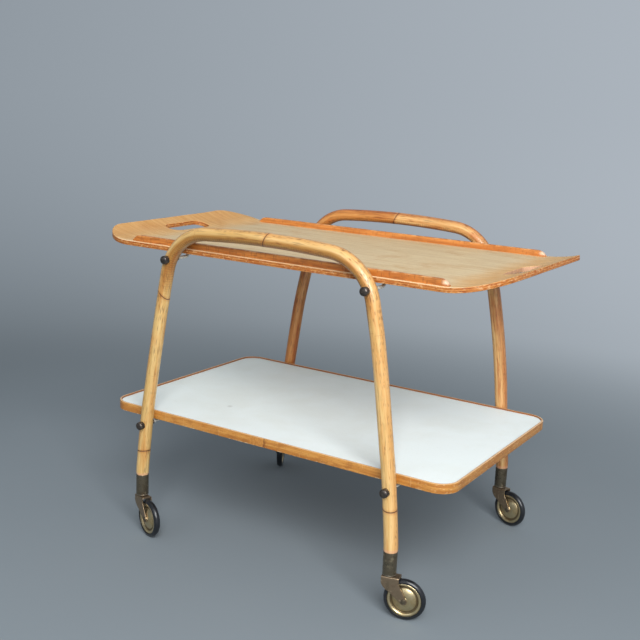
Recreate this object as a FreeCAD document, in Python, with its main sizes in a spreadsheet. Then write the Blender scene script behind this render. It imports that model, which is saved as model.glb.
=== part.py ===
import FreeCAD, Part
import os
import re
import Sketcher

# Tea trolley: two bent cane hoops joined by four cranked steel rods carry a laminated shelf and a
# bent plywood tray, and run on four swivelling casters.
#
# Frame: millimetres, +Z up, floor at Z = 0, origin below the middle of the trolley.
# X runs along the trolley, from the left end to the right end; the front hoop is on -Y.

doc = FreeCAD.newDocument("TeaTrolley")

# ---------------------------------------------------------------------------------------------
# Driving sizes: every size that can be chosen by itself has one row here
# ---------------------------------------------------------------------------------------------
SIZES = [
    # hoops
    ("cane_dia", 26.2, "diameter of the cane pole"),
    ("hoop_rise", 53.5, "flat top of the tray to the top of a hoop"),
    ("foot_reach", 286, "middle of the trolley to the axis of a foot, along X"),
    ("foot_bend", 180, "radius of the short bend above a ferrule"),
    ("leg_lean", 5, "lean of a leg just above the ferrule, degrees from vertical"),
    ("knee_lean", 12, "lean of a leg where the top bend begins, degrees from vertical"),
    ("top_lean", 85.8, "lean of the pole where the top bend ends, degrees from vertical"),
    ("top_bend", 98, "radius of the bend between leg and top"),
    ("leg_gap", 0.3, "gap between the shelf's long edge and a leg"),
    ("spigot_dia", 22.9, "diameter of the pole's end inside its ferrule"),
    # ferrules and stem sockets
    ("ferrule_dia", 25, "outer diameter of a ferrule"),
    ("ferrule_wall", 0.95, "sheet thickness of a ferrule"),
    ("ferrule_long", 42, "length of a ferrule"),
    ("flange_thick", 1.5, "thickness of the socket's flange under the ferrule"),
    ("socket_dia", 12, "outer diameter of a stem socket"),
    ("socket_long", 30, "length of a stem socket above its flange"),
    # casters
    ("wheel_dia", 76, "diameter of a wheel over its tyre"),
    ("tyre_wide", 13, "width of a tyre"),
    ("trail", 30, "swivel axis to wheel axle"),
    ("fork_rise", 41, "wheel axle to the top of the fork"),
    ("fork_sheet", 2, "sheet thickness of a fork"),
    ("fork_side_gap", 2.2, "gap between tyre and fork, each side"),
    ("fork_front", 12, "swivel axis to the front edge of the fork"),
    ("fork_back", 20, "swivel axis to the back edge of the fork's top"),
    ("fork_skirt", 12, "depth of the fork's straight upper edges"),
    ("fork_end", 6.5, "radius of the fork's arm round the axle"),
    ("fork_round", 3, "outer radius of the fork's folded edges"),
    ("stem_dia", 8, "diameter of a caster stem"),
    ("collar_dia", 19, "diameter of the collar on the stem"),
    ("collar_thick", 1.2, "thickness of the collar on the stem"),
    ("swivel_gap", 0.3, "gap between the collar and the socket's flange"),
    ("stem_short", 4, "how far the stem ends below the top of its socket"),
    ("rivet_thick", 2, "thickness of the stem's head under the fork's top"),
    ("rivet_dia", 13, "diameter of the stem's head under the fork's top"),
    ("running_gap", 0.05, "radial gap of a turning fit"),
    ("axle_dia", 6, "diameter of an axle"),
    ("axle_head_dia", 9.5, "diameter of an axle's head"),
    ("axle_head_thick", 2, "height of an axle's head"),
    ("bush_dia", 12, "outer diameter of a hub bush"),
    ("bush_gap", 0.3, "gap between hub bush and fork, each side"),
    ("disc_dia", 62, "diameter of the pressed wheel discs"),
    ("disc_sheet", 1, "sheet thickness of the wheel discs"),
    ("disc_lip", 5, "middle of the wheel to the outer face of the disc's lip"),
    ("disc_groove", 2, "middle of the wheel to the outer face of the disc's groove"),
    ("disc_crown", 6.2, "middle of the wheel to the outer face of the disc's crown"),
    ("groove_dia", 50, "diameter of the disc's groove, at its middle"),
    ("crown_dia", 28, "diameter of the disc's crown"),
    ("swivel_front_left", -20, "where the front left caster points, degrees from +X"),
    ("swivel_front_right", 14, "where the front right caster points, degrees from +X"),
    ("swivel_back_left", -62, "where the back left caster points, degrees from +X"),
    ("swivel_back_right", -14, "where the back right caster points, degrees from +X"),
    # cross rods and their nuts
    ("rod_dia", 6, "diameter of a cross rod"),
    ("rod_gap", 0.2, "gap round a rod in its hole through a leg"),
    ("rod_crank", 6.2, "rise of a rod from the legs to the board that it carries"),
    ("crank_in", 28, "inner face of a leg to the start of a rod's crank"),
    ("crank_bend", 12, "radius of the two bends of a crank"),
    ("cap_dia", 16.4, "diameter of a cap nut"),
    ("cap_long", 8.5, "length of the straight part of a cap nut"),
    ("cap_dome", 3.5, "height of the dome on a cap nut"),
    ("cap_bore", 8, "depth of the bore in a cap nut"),
    ("cap_spare", 0.5, "gap between a rod's end and the bottom of that bore"),
    ("nut_wide", 11.5, "an inner nut across its corners"),
    ("nut_thick", 5, "thickness of an inner nut"),
    ("clip_thick", 1.2, "sheet thickness of a shelf clip"),
    ("clip_wide", 14, "width of a shelf clip, along its rod"),
    ("clip_reach", 150, "middle of the shelf to a clip, along Y"),
    ("clip_ear", 16, "rod's axis to the end of a clip's ear"),
    ("ear_hole", 10.5, "rod's axis to the screw in a clip's ear"),
    ("sleeve_dia", 9, "outer diameter of a sleeve on an upper rod"),
    ("sleeve_long", 24, "length of a sleeve"),
    ("sleeve_reach", 150, "middle of the trolley to a sleeve, along Y"),
    ("tray_rest", 0.3, "clearance between the tray and the sleeves"),
    # shelf
    ("shelf_long", 764, "length of the shelf"),
    ("shelf_wide", 480, "width of the shelf"),
    ("shelf_high", 256.4, "floor to the top of the shelf"),
    ("shelf_thick", 14.9, "thickness of the shelf with its laminate"),
    ("shelf_corner", 38, "outer corner radius of the shelf"),
    ("laminate_thick", 1, "thickness of the laminate"),
    ("band_thick", 4, "thickness of the wooden edge band"),
    ("band_proud", 3, "how far the edge band stands above the laminate"),
    ("screw_dia", 4, "diameter of a wood screw"),
    ("screw_head_dia", 8, "diameter of a wood screw's head"),
    ("screw_head_thick", 2.2, "thickness of a wood screw's head"),
    ("screw_head_gap", 0.2, "gap round a wood screw's head sunk in the tray"),
    ("screw_bite", 9, "how deep a wood screw goes into its wood"),
    # tray
    ("tray_long", 876, "length of the tray"),
    ("tray_gap", 1.8, "gap between a leg and the tray's long edge, seen from above"),
    ("tray_high", 593, "floor to the flat top of the tray"),
    ("ply_thick", 9, "thickness of the tray's plywood"),
    ("tray_flat", 672, "length of the tray's flat part"),
    ("tray_curve", 250, "radius of the tray's upturned ends"),
    ("tray_corner", 100, "corner radius of the tray, seen from above"),
    ("corner_over", 2, "how far the corner arcs run past the tray's square-cut ends"),
    ("hole_inset", 50.5, "end of the tray to the middle of a hand-hole"),
    ("hole_long", 122, "length of a hand-hole, along Y"),
    ("hole_wide", 41, "width of a hand-hole, along X"),
    ("hole_round", 20, "radius of a hand-hole's ends"),
    ("batten_long_front", 682, "length of the front tray batten"),
    ("batten_long_back", 702, "length of the back tray batten"),
    ("batten_shift_front", 6.5, "middle of the tray to the middle of the front batten, along X"),
    ("batten_shift_back", -2.5, "middle of the tray to the middle of the back batten, along X"),
    ("batten_high", 12, "height of a tray batten"),
    ("batten_wide", 10, "width of a tray batten"),
    ("batten_inset", 7.5, "tray's long edge to the outer face of a batten"),
    ("batten_round", 20, "radius of a batten's end, seen from the side"),
    ("batten_tip", 2, "height of a batten's blunt tip"),
    ("batten_ease", 2.5, "radius along a batten's top edges"),
    ("batten_screw_step", 270, "distance between a batten's screws"),
]

sheet = doc.addObject("Spreadsheet::Sheet", "Sizes")
for number, (alias, amount, note) in enumerate(SIZES, start=1):
    sheet.set("A%d" % number, note)
    sheet.set("B%d" % number, str(amount))
    sheet.setAlias("B%d" % number, alias)
doc.recompute()
NAMES = {alias for alias, amount, note in SIZES}


def bound(text):
    """The expression with each size's name written as the spreadsheet's cell."""
    return re.sub(r"[a-z][a-z_]*", lambda word: "Sizes." + word.group(0)
                  if word.group(0) in NAMES else word.group(0), text)


def value(text):
    """The number that an expression of sizes gives now."""
    return float(sheet.evalExpression(bound(text)))


# ---------------------------------------------------------------------------------------------
# Derived places: expressions of the sizes above, used by every piece that meets there
# ---------------------------------------------------------------------------------------------
CANE = "(cane_dia / 2)"
HOOP_HIGH = "(tray_high + hoop_rise)"
HOOP_Y = "(shelf_wide / 2 + leg_gap + cane_dia / 2)"
LEG_INNER = "(shelf_wide / 2 + leg_gap)"
FORK_TOP = "(wheel_dia / 2 + fork_rise)"
COLLAR_TOP = "(wheel_dia / 2 + fork_rise + collar_thick)"
FLANGE_LOW = "(wheel_dia / 2 + fork_rise + collar_thick + swivel_gap)"
FERRULE_LOW = "(wheel_dia / 2 + fork_rise + collar_thick + swivel_gap + flange_thick)"
FERRULE_TOP = "(" + FERRULE_LOW + " + ferrule_long)"
FORK_IN = "(tyre_wide + 2 * fork_side_gap)"
FORK_OUT = "(tyre_wide + 2 * fork_side_gap + 2 * fork_sheet)"
SHELF_LOW = "(shelf_high - shelf_thick)"
TRAY_LOW = "(tray_high - ply_thick)"
UPPER_ROD = "(tray_high - ply_thick - tray_rest - sleeve_dia / 2 - rod_crank)"
LOWER_ROD = "(shelf_high - shelf_thick - rod_dia / 2 - rod_crank)"
TRAY_WIDE = "(2 * (" + LEG_INNER + " - tray_gap))"
HOLE_X = "(tray_long / 2 - hole_inset)"
BATTEN_Y = "(" + TRAY_WIDE + " / 2 - batten_inset - batten_wide / 2)"

# The centre line of one half of a hoop: a short bend above the ferrule, a long bowed leg, the top
# bend and half of the flat top arch. Each pair is X and Z of a tangent point.
P1X = "(foot_reach - foot_bend * (1 - cos(leg_lean)))"
P1Z = "(" + FERRULE_TOP + " + foot_bend * sin(leg_lean))"
CREST = "((1 - sin(top_lean)) / cos(top_lean))"
LEG_BOW = ("((" + HOOP_HIGH + " - cane_dia / 2 - " + P1Z
           + " - top_bend * (sin(top_lean) - sin(knee_lean))"
           " - " + CREST + " * (" + P1X + " - top_bend * (cos(knee_lean) - cos(top_lean))))"
           " / (sin(knee_lean) - sin(leg_lean) - " + CREST + " * (cos(leg_lean) - cos(knee_lean))))")
P2X = "(" + P1X + " - " + LEG_BOW + " * (cos(leg_lean) - cos(knee_lean)))"
P2Z = "(" + P1Z + " + " + LEG_BOW + " * (sin(knee_lean) - sin(leg_lean)))"
P3X = "(" + P2X + " - top_bend * (cos(knee_lean) - cos(top_lean)))"
P3Z = "(" + P2Z + " + top_bend * (sin(top_lean) - sin(knee_lean)))"
ARCH = "(" + P3X + " / cos(top_lean))"


def leg_x(level):
    """Distance of a leg's centre line from the middle, at a level on its bowed or bent part."""
    if value(level) < value(P2Z):
        middle = "(" + P1X + " - " + LEG_BOW + " * cos(leg_lean))"
        height = "(" + level + " - " + P1Z + " + " + LEG_BOW + " * sin(leg_lean))"
        return "(" + middle + " + sqrt(" + LEG_BOW + "^2 - " + height + "^2))"
    middle = "(" + P2X + " - top_bend * cos(knee_lean))"
    height = "(" + level + " - " + P2Z + " + top_bend * sin(knee_lean))"
    return "(" + middle + " + sqrt(top_bend^2 - " + height + "^2))"


UPPER_X = leg_x(UPPER_ROD)
LOWER_X = leg_x(LOWER_ROD)

# ---------------------------------------------------------------------------------------------
# Helpers
# ---------------------------------------------------------------------------------------------
parts = {}


def node(item, name):
    item.Label = name
    parts[name] = item
    return item


def body(name):
    return doc.addObject("PartDesign::Body", name)


def sketch(owner, plane, name, lift=None, shift=None):
    """A sketch on one of the body's origin planes, lifted along the plane's normal."""
    drawing = owner.newObject("Sketcher::SketchObject", name)
    base = [item for item in owner.Origin.OriginFeatures if item.Role == plane][0]
    drawing.AttachmentSupport = [(base, "")]
    drawing.MapMode = "FlatFace"
    if lift:
        drawing.setExpression("AttachmentOffset.Base.z", bound(lift))
    if shift:
        drawing.setExpression("AttachmentOffset.Base.x", bound(shift))
    return drawing


def fix_point(drawing, edge, end, x, y):
    """Tie a point to the sketch's origin by two bound distances."""
    for kind, text in (("DistanceX", x), ("DistanceY", y)):
        mark = drawing.addConstraint(Sketcher.Constraint(kind, -1, 1, edge, end, value(text)))
        if re.search("[a-z]", text):
            drawing.setExpression("Constraints[%d]" % mark, bound(text))


def outline(drawing, points, closed=True):
    """Lines and arcs through points (x, y) or (x, y, radius): an arc runs from its own point to the
    next one, to the left of the chord's travel when its radius is positive, else to the right."""
    spots = [(value(p[0]), value(p[1])) for p in points]
    count = len(points) if closed else len(points) - 1
    edges = []
    for i in range(count):
        a, b = spots[i], spots[(i + 1) % len(points)]
        start, stop = FreeCAD.Vector(a[0], a[1], 0), FreeCAD.Vector(b[0], b[1], 0)
        if len(points[i]) < 3:
            edges.append((drawing.addGeometry(Part.LineSegment(start, stop)), 1, 2))
            continue
        text, left = points[i][2], points[i][3]
        radius, chord = value(text), stop - start
        away = (radius ** 2 - (chord.Length / 2) ** 2) ** 0.5
        side = FreeCAD.Vector(-chord.y, chord.x, 0).normalize() * away
        centre = (start + stop) / 2 + (side if left else side * -1)
        circle = Part.Circle(centre, FreeCAD.Vector(0, 0, 1), radius)
        first, last = (start, stop) if left else (stop, start)
        arc = Part.ArcOfCircle(circle, circle.parameter(first), circle.parameter(last))
        edges.append((drawing.addGeometry(arc), 1, 2) if left else (drawing.addGeometry(arc), 2, 1))
    for i, (edge, head, tail) in enumerate(edges):
        fix_point(drawing, edge, head, points[i][0], points[i][1])
        if len(points[i]) > 2:
            mark = drawing.addConstraint(Sketcher.Constraint("Radius", edge, value(points[i][2])))
            drawing.setExpression("Constraints[%d]" % mark, bound(points[i][2]))
        if closed or i + 1 < len(edges):
            after = edges[(i + 1) % len(edges)]
            drawing.addConstraint(Sketcher.Constraint("Coincident", edge, tail, after[0], after[1]))
    if not closed:
        fix_point(drawing, edges[-1][0], edges[-1][2], points[-1][0], points[-1][1])
    return drawing


def circle(drawing, x, y, radius):
    ring = drawing.addGeometry(Part.Circle(FreeCAD.Vector(value(x), value(y), 0),
                                           FreeCAD.Vector(0, 0, 1), value(radius)))
    fix_point(drawing, ring, 3, x, y)
    mark = drawing.addConstraint(Sketcher.Constraint("Radius", ring, value(radius)))
    drawing.setExpression("Constraints[%d]" % mark, bound(radius))
    return drawing


def rounded(drawing, long, wide, corner, middle="0"):
    """A rectangle with round corners, its middle on the sketch's X axis."""
    right, y = "(" + middle + " + " + long + " / 2)", "(" + wide + " / 2)"
    left = "(" + middle + " - " + long + " / 2)"
    inner_right, inner_left = "(" + right + " - " + corner + ")", "(" + left + " + " + corner + ")"
    inner_y = "(" + y + " - " + corner + ")"
    return outline(drawing, [
        (inner_left, "-" + y), (inner_right, "-" + y, corner, True),
        (right, "-" + inner_y), (right, inner_y, corner, True),
        (inner_right, y), (inner_left, y, corner, True),
        (left, inner_y), (left, "-" + inner_y, corner, True)])


def pad(owner, drawing, name, length, both=False):
    item = owner.newObject("PartDesign::Pad", name)
    item.Profile = drawing
    item.SideType = "Symmetric" if both else "One side"
    item.setExpression("Length", bound(length))
    return item


def pocket(owner, drawing, name, length=None, up=False):
    """Cut through everything both ways, or a length down (or up) from the sketch; the volume shows
    that the cut met the solid."""
    doc.recompute()
    before = owner.Shape.Volume
    item = owner.newObject("PartDesign::Pocket", name)
    item.Profile = drawing
    if length:
        item.Reversed = up
        item.setExpression("Length", bound(length))
    else:
        item.SideType = "Symmetric"
        item.Type = "ThroughAll"
    doc.recompute()
    if not owner.Shape.Volume < before - 1e-3:
        raise RuntimeError(name + " cut nothing")
    return item


def turned(name, points, plane="XZ_Plane", lift=None, shift=None):
    """A body turned about its sketch's vertical axis; points are radius and height."""
    owner = body(name)
    drawing = outline(sketch(owner, plane, name + "_profile", lift, shift), points)
    turn = owner.newObject("PartDesign::Revolution", name + "_turn")
    turn.Profile = drawing
    turn.ReferenceAxis = (drawing, ["V_Axis"])
    turn.Angle = 360
    return owner


def fillet(owner, name, radius, test):
    """Round the edges that pass the test with a bound radius."""
    doc.recompute()
    tip = owner.Tip
    chosen = ["Edge%d" % (i + 1) for i, edge in enumerate(tip.Shape.Edges) if test(edge)]
    item = owner.newObject("PartDesign::Fillet", name)
    item.Base = (tip, chosen)
    item.setExpression("Radius", bound(radius))
    return item


def place(item, x="0", y="0", z="0", turn=None):
    """Bind where a piece stands, and how far it is turned about the vertical."""
    if turn:
        item.Placement = FreeCAD.Placement(FreeCAD.Vector(), FreeCAD.Rotation(
            FreeCAD.Vector(0, 0, 1), 30))
        item.setExpression("Placement.Rotation.Angle", bound(turn))
    for axis, text in (("x", x), ("y", y), ("z", z)):
        if text != "0":
            item.setExpression("Placement.Base." + axis, bound(text))
    return item


def group(name, members):
    """Several loose solids of one kind kept as one sub-part."""
    item = doc.addObject("Part::Compound", name)
    item.Links = members
    return item


SIDES = {"front": "-1", "back": "1"}
ENDS = {"left": "-1", "right": "1"}
CORNERS = [(side, end) for side in SIDES for end in ENDS]

# ---------------------------------------------------------------------------------------------
# Cane hoops
# ---------------------------------------------------------------------------------------------
for side, sign in SIDES.items():
    name = side + "_hoop"
    hoop = body(name)
    path = outline(sketch(hoop, "XZ_Plane", name + "_path"), [
        ("foot_reach", FERRULE_TOP, "foot_bend", True),
        (P1X, P1Z, LEG_BOW, True),
        (P2X, P2Z, "top_bend", True),
        (P3X, P3Z, ARCH, True),
        ("-" + P3X, P3Z, "top_bend", True),
        ("-" + P2X, P2Z, LEG_BOW, True),
        ("-" + P1X, P1Z, "foot_bend", True),
        ("-foot_reach", FERRULE_TOP)], closed=False)
    ring = circle(sketch(hoop, "XY_Plane", name + "_section", FERRULE_TOP), "foot_reach", "0", CANE)
    pole = hoop.newObject("PartDesign::AdditivePipe", name + "_pole")
    pole.Profile = ring
    pole.Spine = (path, ["Edge%d" % i for i in range(1, 8)])
    ends = sketch(hoop, "XY_Plane", name + "_spigots", FERRULE_LOW)
    bores = sketch(hoop, "XY_Plane", name + "_bores", FERRULE_LOW)
    for x in ("foot_reach", "-foot_reach"):
        circle(ends, x, "0", "(spigot_dia / 2)")
        circle(bores, x, "0", "(socket_dia / 2)")
    pad(hoop, ends, name + "_spigot", "ferrule_long")
    pocket(hoop, bores, name + "_bore", "socket_long + stem_dia / 4", up=True)
    holes = sketch(hoop, "XZ_Plane", name + "_rod_holes")
    for x, z in ((UPPER_X, UPPER_ROD), (LOWER_X, LOWER_ROD)):
        for turn in ("", "-"):
            circle(holes, turn + x, z, "(rod_dia / 2 + rod_gap)")
    pocket(hoop, holes, name + "_rod_hole")
    place(node(hoop, name), y=sign + " * " + HOOP_Y)

# ---------------------------------------------------------------------------------------------
# Ferrules, stem sockets
# ---------------------------------------------------------------------------------------------
for side, end in CORNERS:
    where = side + "_" + end
    spot = dict(x=ENDS[end] + " * foot_reach", y=SIDES[side] + " * " + HOOP_Y)
    ferrule = body("ferrule_" + where)
    ring = sketch(ferrule, "XY_Plane", "ferrule_ring_" + where, FERRULE_LOW)
    circle(ring, "0", "0", "(ferrule_dia / 2)")
    circle(ring, "0", "0", "(ferrule_dia / 2 - ferrule_wall)")
    pad(ferrule, ring, "ferrule_tube_" + where, "ferrule_long")
    place(node(ferrule, "ferrule_" + where), **spot)
    bore, tube, rim = "(stem_dia / 2 + running_gap)", "(socket_dia / 2)", "(ferrule_dia / 2)"
    top = "(" + FERRULE_LOW + " + socket_long)"
    socket = turned("socket_" + where, [
        (bore, FLANGE_LOW), (rim, FLANGE_LOW), (rim, FERRULE_LOW), (tube, FERRULE_LOW),
        (tube, top), (bore, top)])
    place(node(socket, "socket_" + where), **spot)

# ---------------------------------------------------------------------------------------------
# Cross rods: each runs level through both legs and is cranked up to its board in between
# ---------------------------------------------------------------------------------------------
ROD_END = "(" + HOOP_Y + " + " + CANE + " + cap_bore - cap_spare)"
CRANK_LOW = "(" + LEG_INNER + " - crank_in)"
CRANK_TURN = "acos(1 - rod_crank / (2 * crank_bend))"
CRANK_MID = "(" + CRANK_LOW + " - crank_bend * sin(" + CRANK_TURN + "))"
CRANK_HIGH = "(" + CRANK_LOW + " - 2 * crank_bend * sin(" + CRANK_TURN + "))"
LEVELS = {"upper": (UPPER_X, UPPER_ROD), "lower": (LOWER_X, LOWER_ROD)}
for level, (x, height) in LEVELS.items():
    for end, sign in ENDS.items():
        name = "rod_" + level + "_" + end
        rod = body(name)
        path = outline(sketch(rod, "YZ_Plane", name + "_path"), [
            ("-" + ROD_END, "0"), ("-" + CRANK_LOW, "0", "crank_bend", True),
            ("-" + CRANK_MID, "(rod_crank / 2)", "crank_bend", False),
            ("-" + CRANK_HIGH, "rod_crank"), (CRANK_HIGH, "rod_crank", "crank_bend", False),
            (CRANK_MID, "(rod_crank / 2)", "crank_bend", True), (CRANK_LOW, "0"),
            (ROD_END, "0")], closed=False)
        ring = circle(sketch(rod, "XZ_Plane", name + "_section", ROD_END), "0", "0", "(rod_dia / 2)")
        bar = rod.newObject("PartDesign::AdditivePipe", name + "_bar")
        bar.Profile = ring
        bar.Spine = (path, ["Edge%d" % i for i in range(1, 8)])
        place(node(rod, name), x=sign + " * " + x, z=height)

        nuts = []
        for side, face in SIDES.items():
            where = "%s_%s_%s" % (level, side, end)
            cap = turned("cap_" + where, [
                ("(rod_dia / 2)", "0"), ("(cap_dia / 2)", "0"),
                ("(cap_dia / 2)", "cap_long", "((cap_dia^2 / 4 + cap_dome^2) / (2 * cap_dome))", True),
                ("0", "(cap_long + cap_dome)"), ("0", "cap_bore"), ("(rod_dia / 2)", "cap_bore")],
                "XY_Plane")
            place(node(cap, "cap_" + where), x=sign + " * " + x,
                  y=face + " * (" + HOOP_Y + " + " + CANE + ")", z=height,
                  turn="180" if side == "front" else None)
            nut = body("nut_" + where)
            plan = sketch(nut, "XZ_Plane", nut.Name + "_plan",
                          "-1 * " + face + " * (" + LEG_INNER + " - nut_thick / 2)")
            half, rise = "(nut_wide / 2)", "(nut_wide / 4 * sqrt(3))"
            outline(plan, [(half, "0"), ("(nut_wide / 4)", rise), ("(-nut_wide / 4)", rise),
                           ("-" + half, "0"), ("(-nut_wide / 4)", "-" + rise),
                           ("(nut_wide / 4)", "-" + rise)])
            circle(plan, "0", "0", "(rod_dia / 2)")
            pad(nut, plan, nut.Name + "_hexagon", "nut_thick", both=True)
            nuts.append(nut)
        pair = group("nuts_%s_%s" % (level, end), nuts)
        place(node(pair, "nuts_%s_%s" % (level, end)), x=sign + " * " + x, z=height)

# ---------------------------------------------------------------------------------------------
# Shelf: board, laminate, edge band, and the clips and screws that hold it on the lower rods
# ---------------------------------------------------------------------------------------------
INNER_LONG, INNER_WIDE = "(shelf_long - 2 * band_thick)", "(shelf_wide - 2 * band_thick)"
INNER_CORNER = "(shelf_corner - band_thick)"
core = body("shelf_core")
pad(core, rounded(sketch(core, "XY_Plane", "core_plan", SHELF_LOW), INNER_LONG, INNER_WIDE,
                  INNER_CORNER), "core_board", "shelf_thick - laminate_thick")
holes = sketch(core, "XY_Plane", "core_screw_holes", SHELF_LOW)
for x in (LOWER_X, "-" + LOWER_X):
    for ear in (" + ear_hole", " - ear_hole"):
        for y in ("clip_reach", "-clip_reach"):
            circle(holes, "(" + x + ear + ")", y, "(screw_dia / 2)")
pocket(core, holes, "core_screw_hole", "screw_bite", up=True)
node(core, "shelf_core")

laminate = body("shelf_laminate")
pad(laminate, rounded(sketch(laminate, "XY_Plane", "laminate_plan", "shelf_high - laminate_thick"),
                      INNER_LONG, INNER_WIDE, INNER_CORNER), "laminate_sheet", "laminate_thick")
node(laminate, "shelf_laminate")

band = body("shelf_band")
plan = sketch(band, "XY_Plane", "band_plan", SHELF_LOW)
rounded(plan, "shelf_long", "shelf_wide", "shelf_corner")
rounded(plan, INNER_LONG, INNER_WIDE, INNER_CORNER)
pad(band, plan, "band_strip", "shelf_thick + band_proud")
node(band, "shelf_band")


def wood_screw(name, under):
    """A screw pointing up: its head's lower face is at the local origin."""
    return turned(name, [
        ("0", "0"), ("(screw_head_dia / 2)", "0"), ("(screw_head_dia / 2)", "screw_head_thick"),
        ("(screw_dia / 2)", "screw_head_thick"), ("(screw_dia / 2)", under), ("0", under)])


for end, sign in ENDS.items():
    clips, screws = [], []
    for side, face in SIDES.items():
        where = "_%s_%s" % (side, end)
        # The clip hangs from the board: two ears and a loop under the rod.
        clip = body("shelf_clip" + where)
        bend, skin = "(rod_dia / 2)", "(rod_dia / 2 + clip_thick)"
        outline(sketch(clip, "XZ_Plane", "clip_section" + where, "-clip_reach * " + face), [
            ("-clip_ear", "0"), ("-clip_ear", "-clip_thick"), ("-" + skin, "-clip_thick"),
            ("-" + skin, "-" + bend, skin, True), ("0", "(-rod_dia - clip_thick)", skin, True),
            (skin, "-" + bend), (skin, "-clip_thick"), ("clip_ear", "-clip_thick"),
            ("clip_ear", "0"), (bend, "0"), (bend, "-" + bend, bend, False),
            ("0", "-rod_dia", bend, False), ("-" + bend, "-" + bend), ("-" + bend, "0")])
        pad(clip, clip.Group[-1], "clip_sheet" + where, "clip_wide", both=True)
        holes = sketch(clip, "XY_Plane", "clip_holes" + where)
        for x in ("ear_hole", "-ear_hole"):
            circle(holes, x, face + " * clip_reach", "(screw_dia / 2)")
            screw = wood_screw("shelf_screw%s_%s" % (where, "inner" if x[0] == "-" else "outer"),
                               "(screw_head_thick + clip_thick + screw_bite)")
            place(screw, x=x, y=face + " * clip_reach", z="(-clip_thick - screw_head_thick)")
            screws.append(screw)
        pocket(clip, holes, "clip_hole" + where)
        clips.append(clip)
    for name, members in (("shelf_clips_" + end, clips), ("shelf_screws_" + end, screws)):
        place(node(group(name, members), name), x=sign + " * " + LOWER_X, z=SHELF_LOW)

# ---------------------------------------------------------------------------------------------
# Rubber sleeves on the upper rods, on which the tray lies
# ---------------------------------------------------------------------------------------------
for end, sign in ENDS.items():
    sleeves = []
    for side, face in SIDES.items():
        where = "_%s_%s" % (side, end)
        sleeve = body("sleeve" + where)
        ring = sketch(sleeve, "XZ_Plane", "sleeve_ring" + where, "-sleeve_reach * " + face)
        circle(ring, "0", "0", "(sleeve_dia / 2)")
        circle(ring, "0", "0", "(rod_dia / 2)")
        pad(sleeve, ring, "sleeve_tube" + where, "sleeve_long", both=True)
        sleeves.append(sleeve)
    name = "tray_sleeves_" + end
    place(node(group(name, sleeves), name), x=sign + " * " + UPPER_X,
          z="(" + UPPER_ROD + " + rod_crank)")

# ---------------------------------------------------------------------------------------------
# Tray: bent plywood with a hand-hole in each upturned end, two battens and their screws
# ---------------------------------------------------------------------------------------------
# The ends are cut square to the bent sheet, and its corners are trimmed from above.
CURL = "asin((tray_long - tray_flat) / 2 / (tray_curve + ply_thick))"
CURL_X = "(tray_flat / 2 + tray_curve * sin(" + CURL + "))"
CURL_Z = "(tray_high + tray_curve * (1 - cos(" + CURL + ")))"
LOW_X = "(tray_flat / 2 + (tray_curve + ply_thick) * sin(" + CURL + "))"
LOW_Z = "(tray_high + tray_curve - (tray_curve + ply_thick) * cos(" + CURL + "))"
tray = body("tray_board")
outer = "(tray_curve + ply_thick)"
bent = outline(sketch(tray, "XZ_Plane", "tray_section"), [
    ("(-tray_flat / 2)", TRAY_LOW), ("(tray_flat / 2)", TRAY_LOW, outer, True), (LOW_X, LOW_Z),
    (CURL_X, CURL_Z, "tray_curve", False), ("(tray_flat / 2)", "tray_high"),
    ("(-tray_flat / 2)", "tray_high", "tray_curve", False), ("-" + CURL_X, CURL_Z),
    ("-" + LOW_X, LOW_Z, outer, True)])
pad(tray, bent, "tray_sheet", TRAY_WIDE, both=True)
trim = sketch(tray, "XY_Plane", "tray_plan")
over_x, over_y = "(tray_long / 2 + tray_curve)", "(" + TRAY_WIDE + " / 2 + tray_curve)"
outline(trim, [("-" + over_x, "-" + over_y), (over_x, "-" + over_y), (over_x, over_y),
               ("-" + over_x, over_y)])
rounded(trim, "(tray_long + 2 * corner_over)", TRAY_WIDE, "tray_corner")
pocket(tray, trim, "tray_trim")
slots = sketch(tray, "XY_Plane", "tray_hand_holes")
for middle in ("-" + HOLE_X, HOLE_X):
    rounded(slots, "hole_wide", "hole_long", "hole_round", middle)
pocket(tray, slots, "tray_hand_hole")
BATTEN_SCREWS = ("-batten_screw_step", "0", "batten_screw_step")
holes = sketch(tray, "XY_Plane", "tray_screw_holes")
heads = sketch(tray, "XY_Plane", "tray_screw_heads", TRAY_LOW)
for x in BATTEN_SCREWS:
    for y in (BATTEN_Y, "-" + BATTEN_Y):
        circle(holes, x, y, "(screw_dia / 2)")
        circle(heads, x, y, "(screw_head_dia / 2 + screw_head_gap)")
pocket(tray, holes, "tray_screw_hole")
pocket(tray, heads, "tray_screw_head", "screw_head_thick", up=True)
node(tray, "tray_board")

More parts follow.
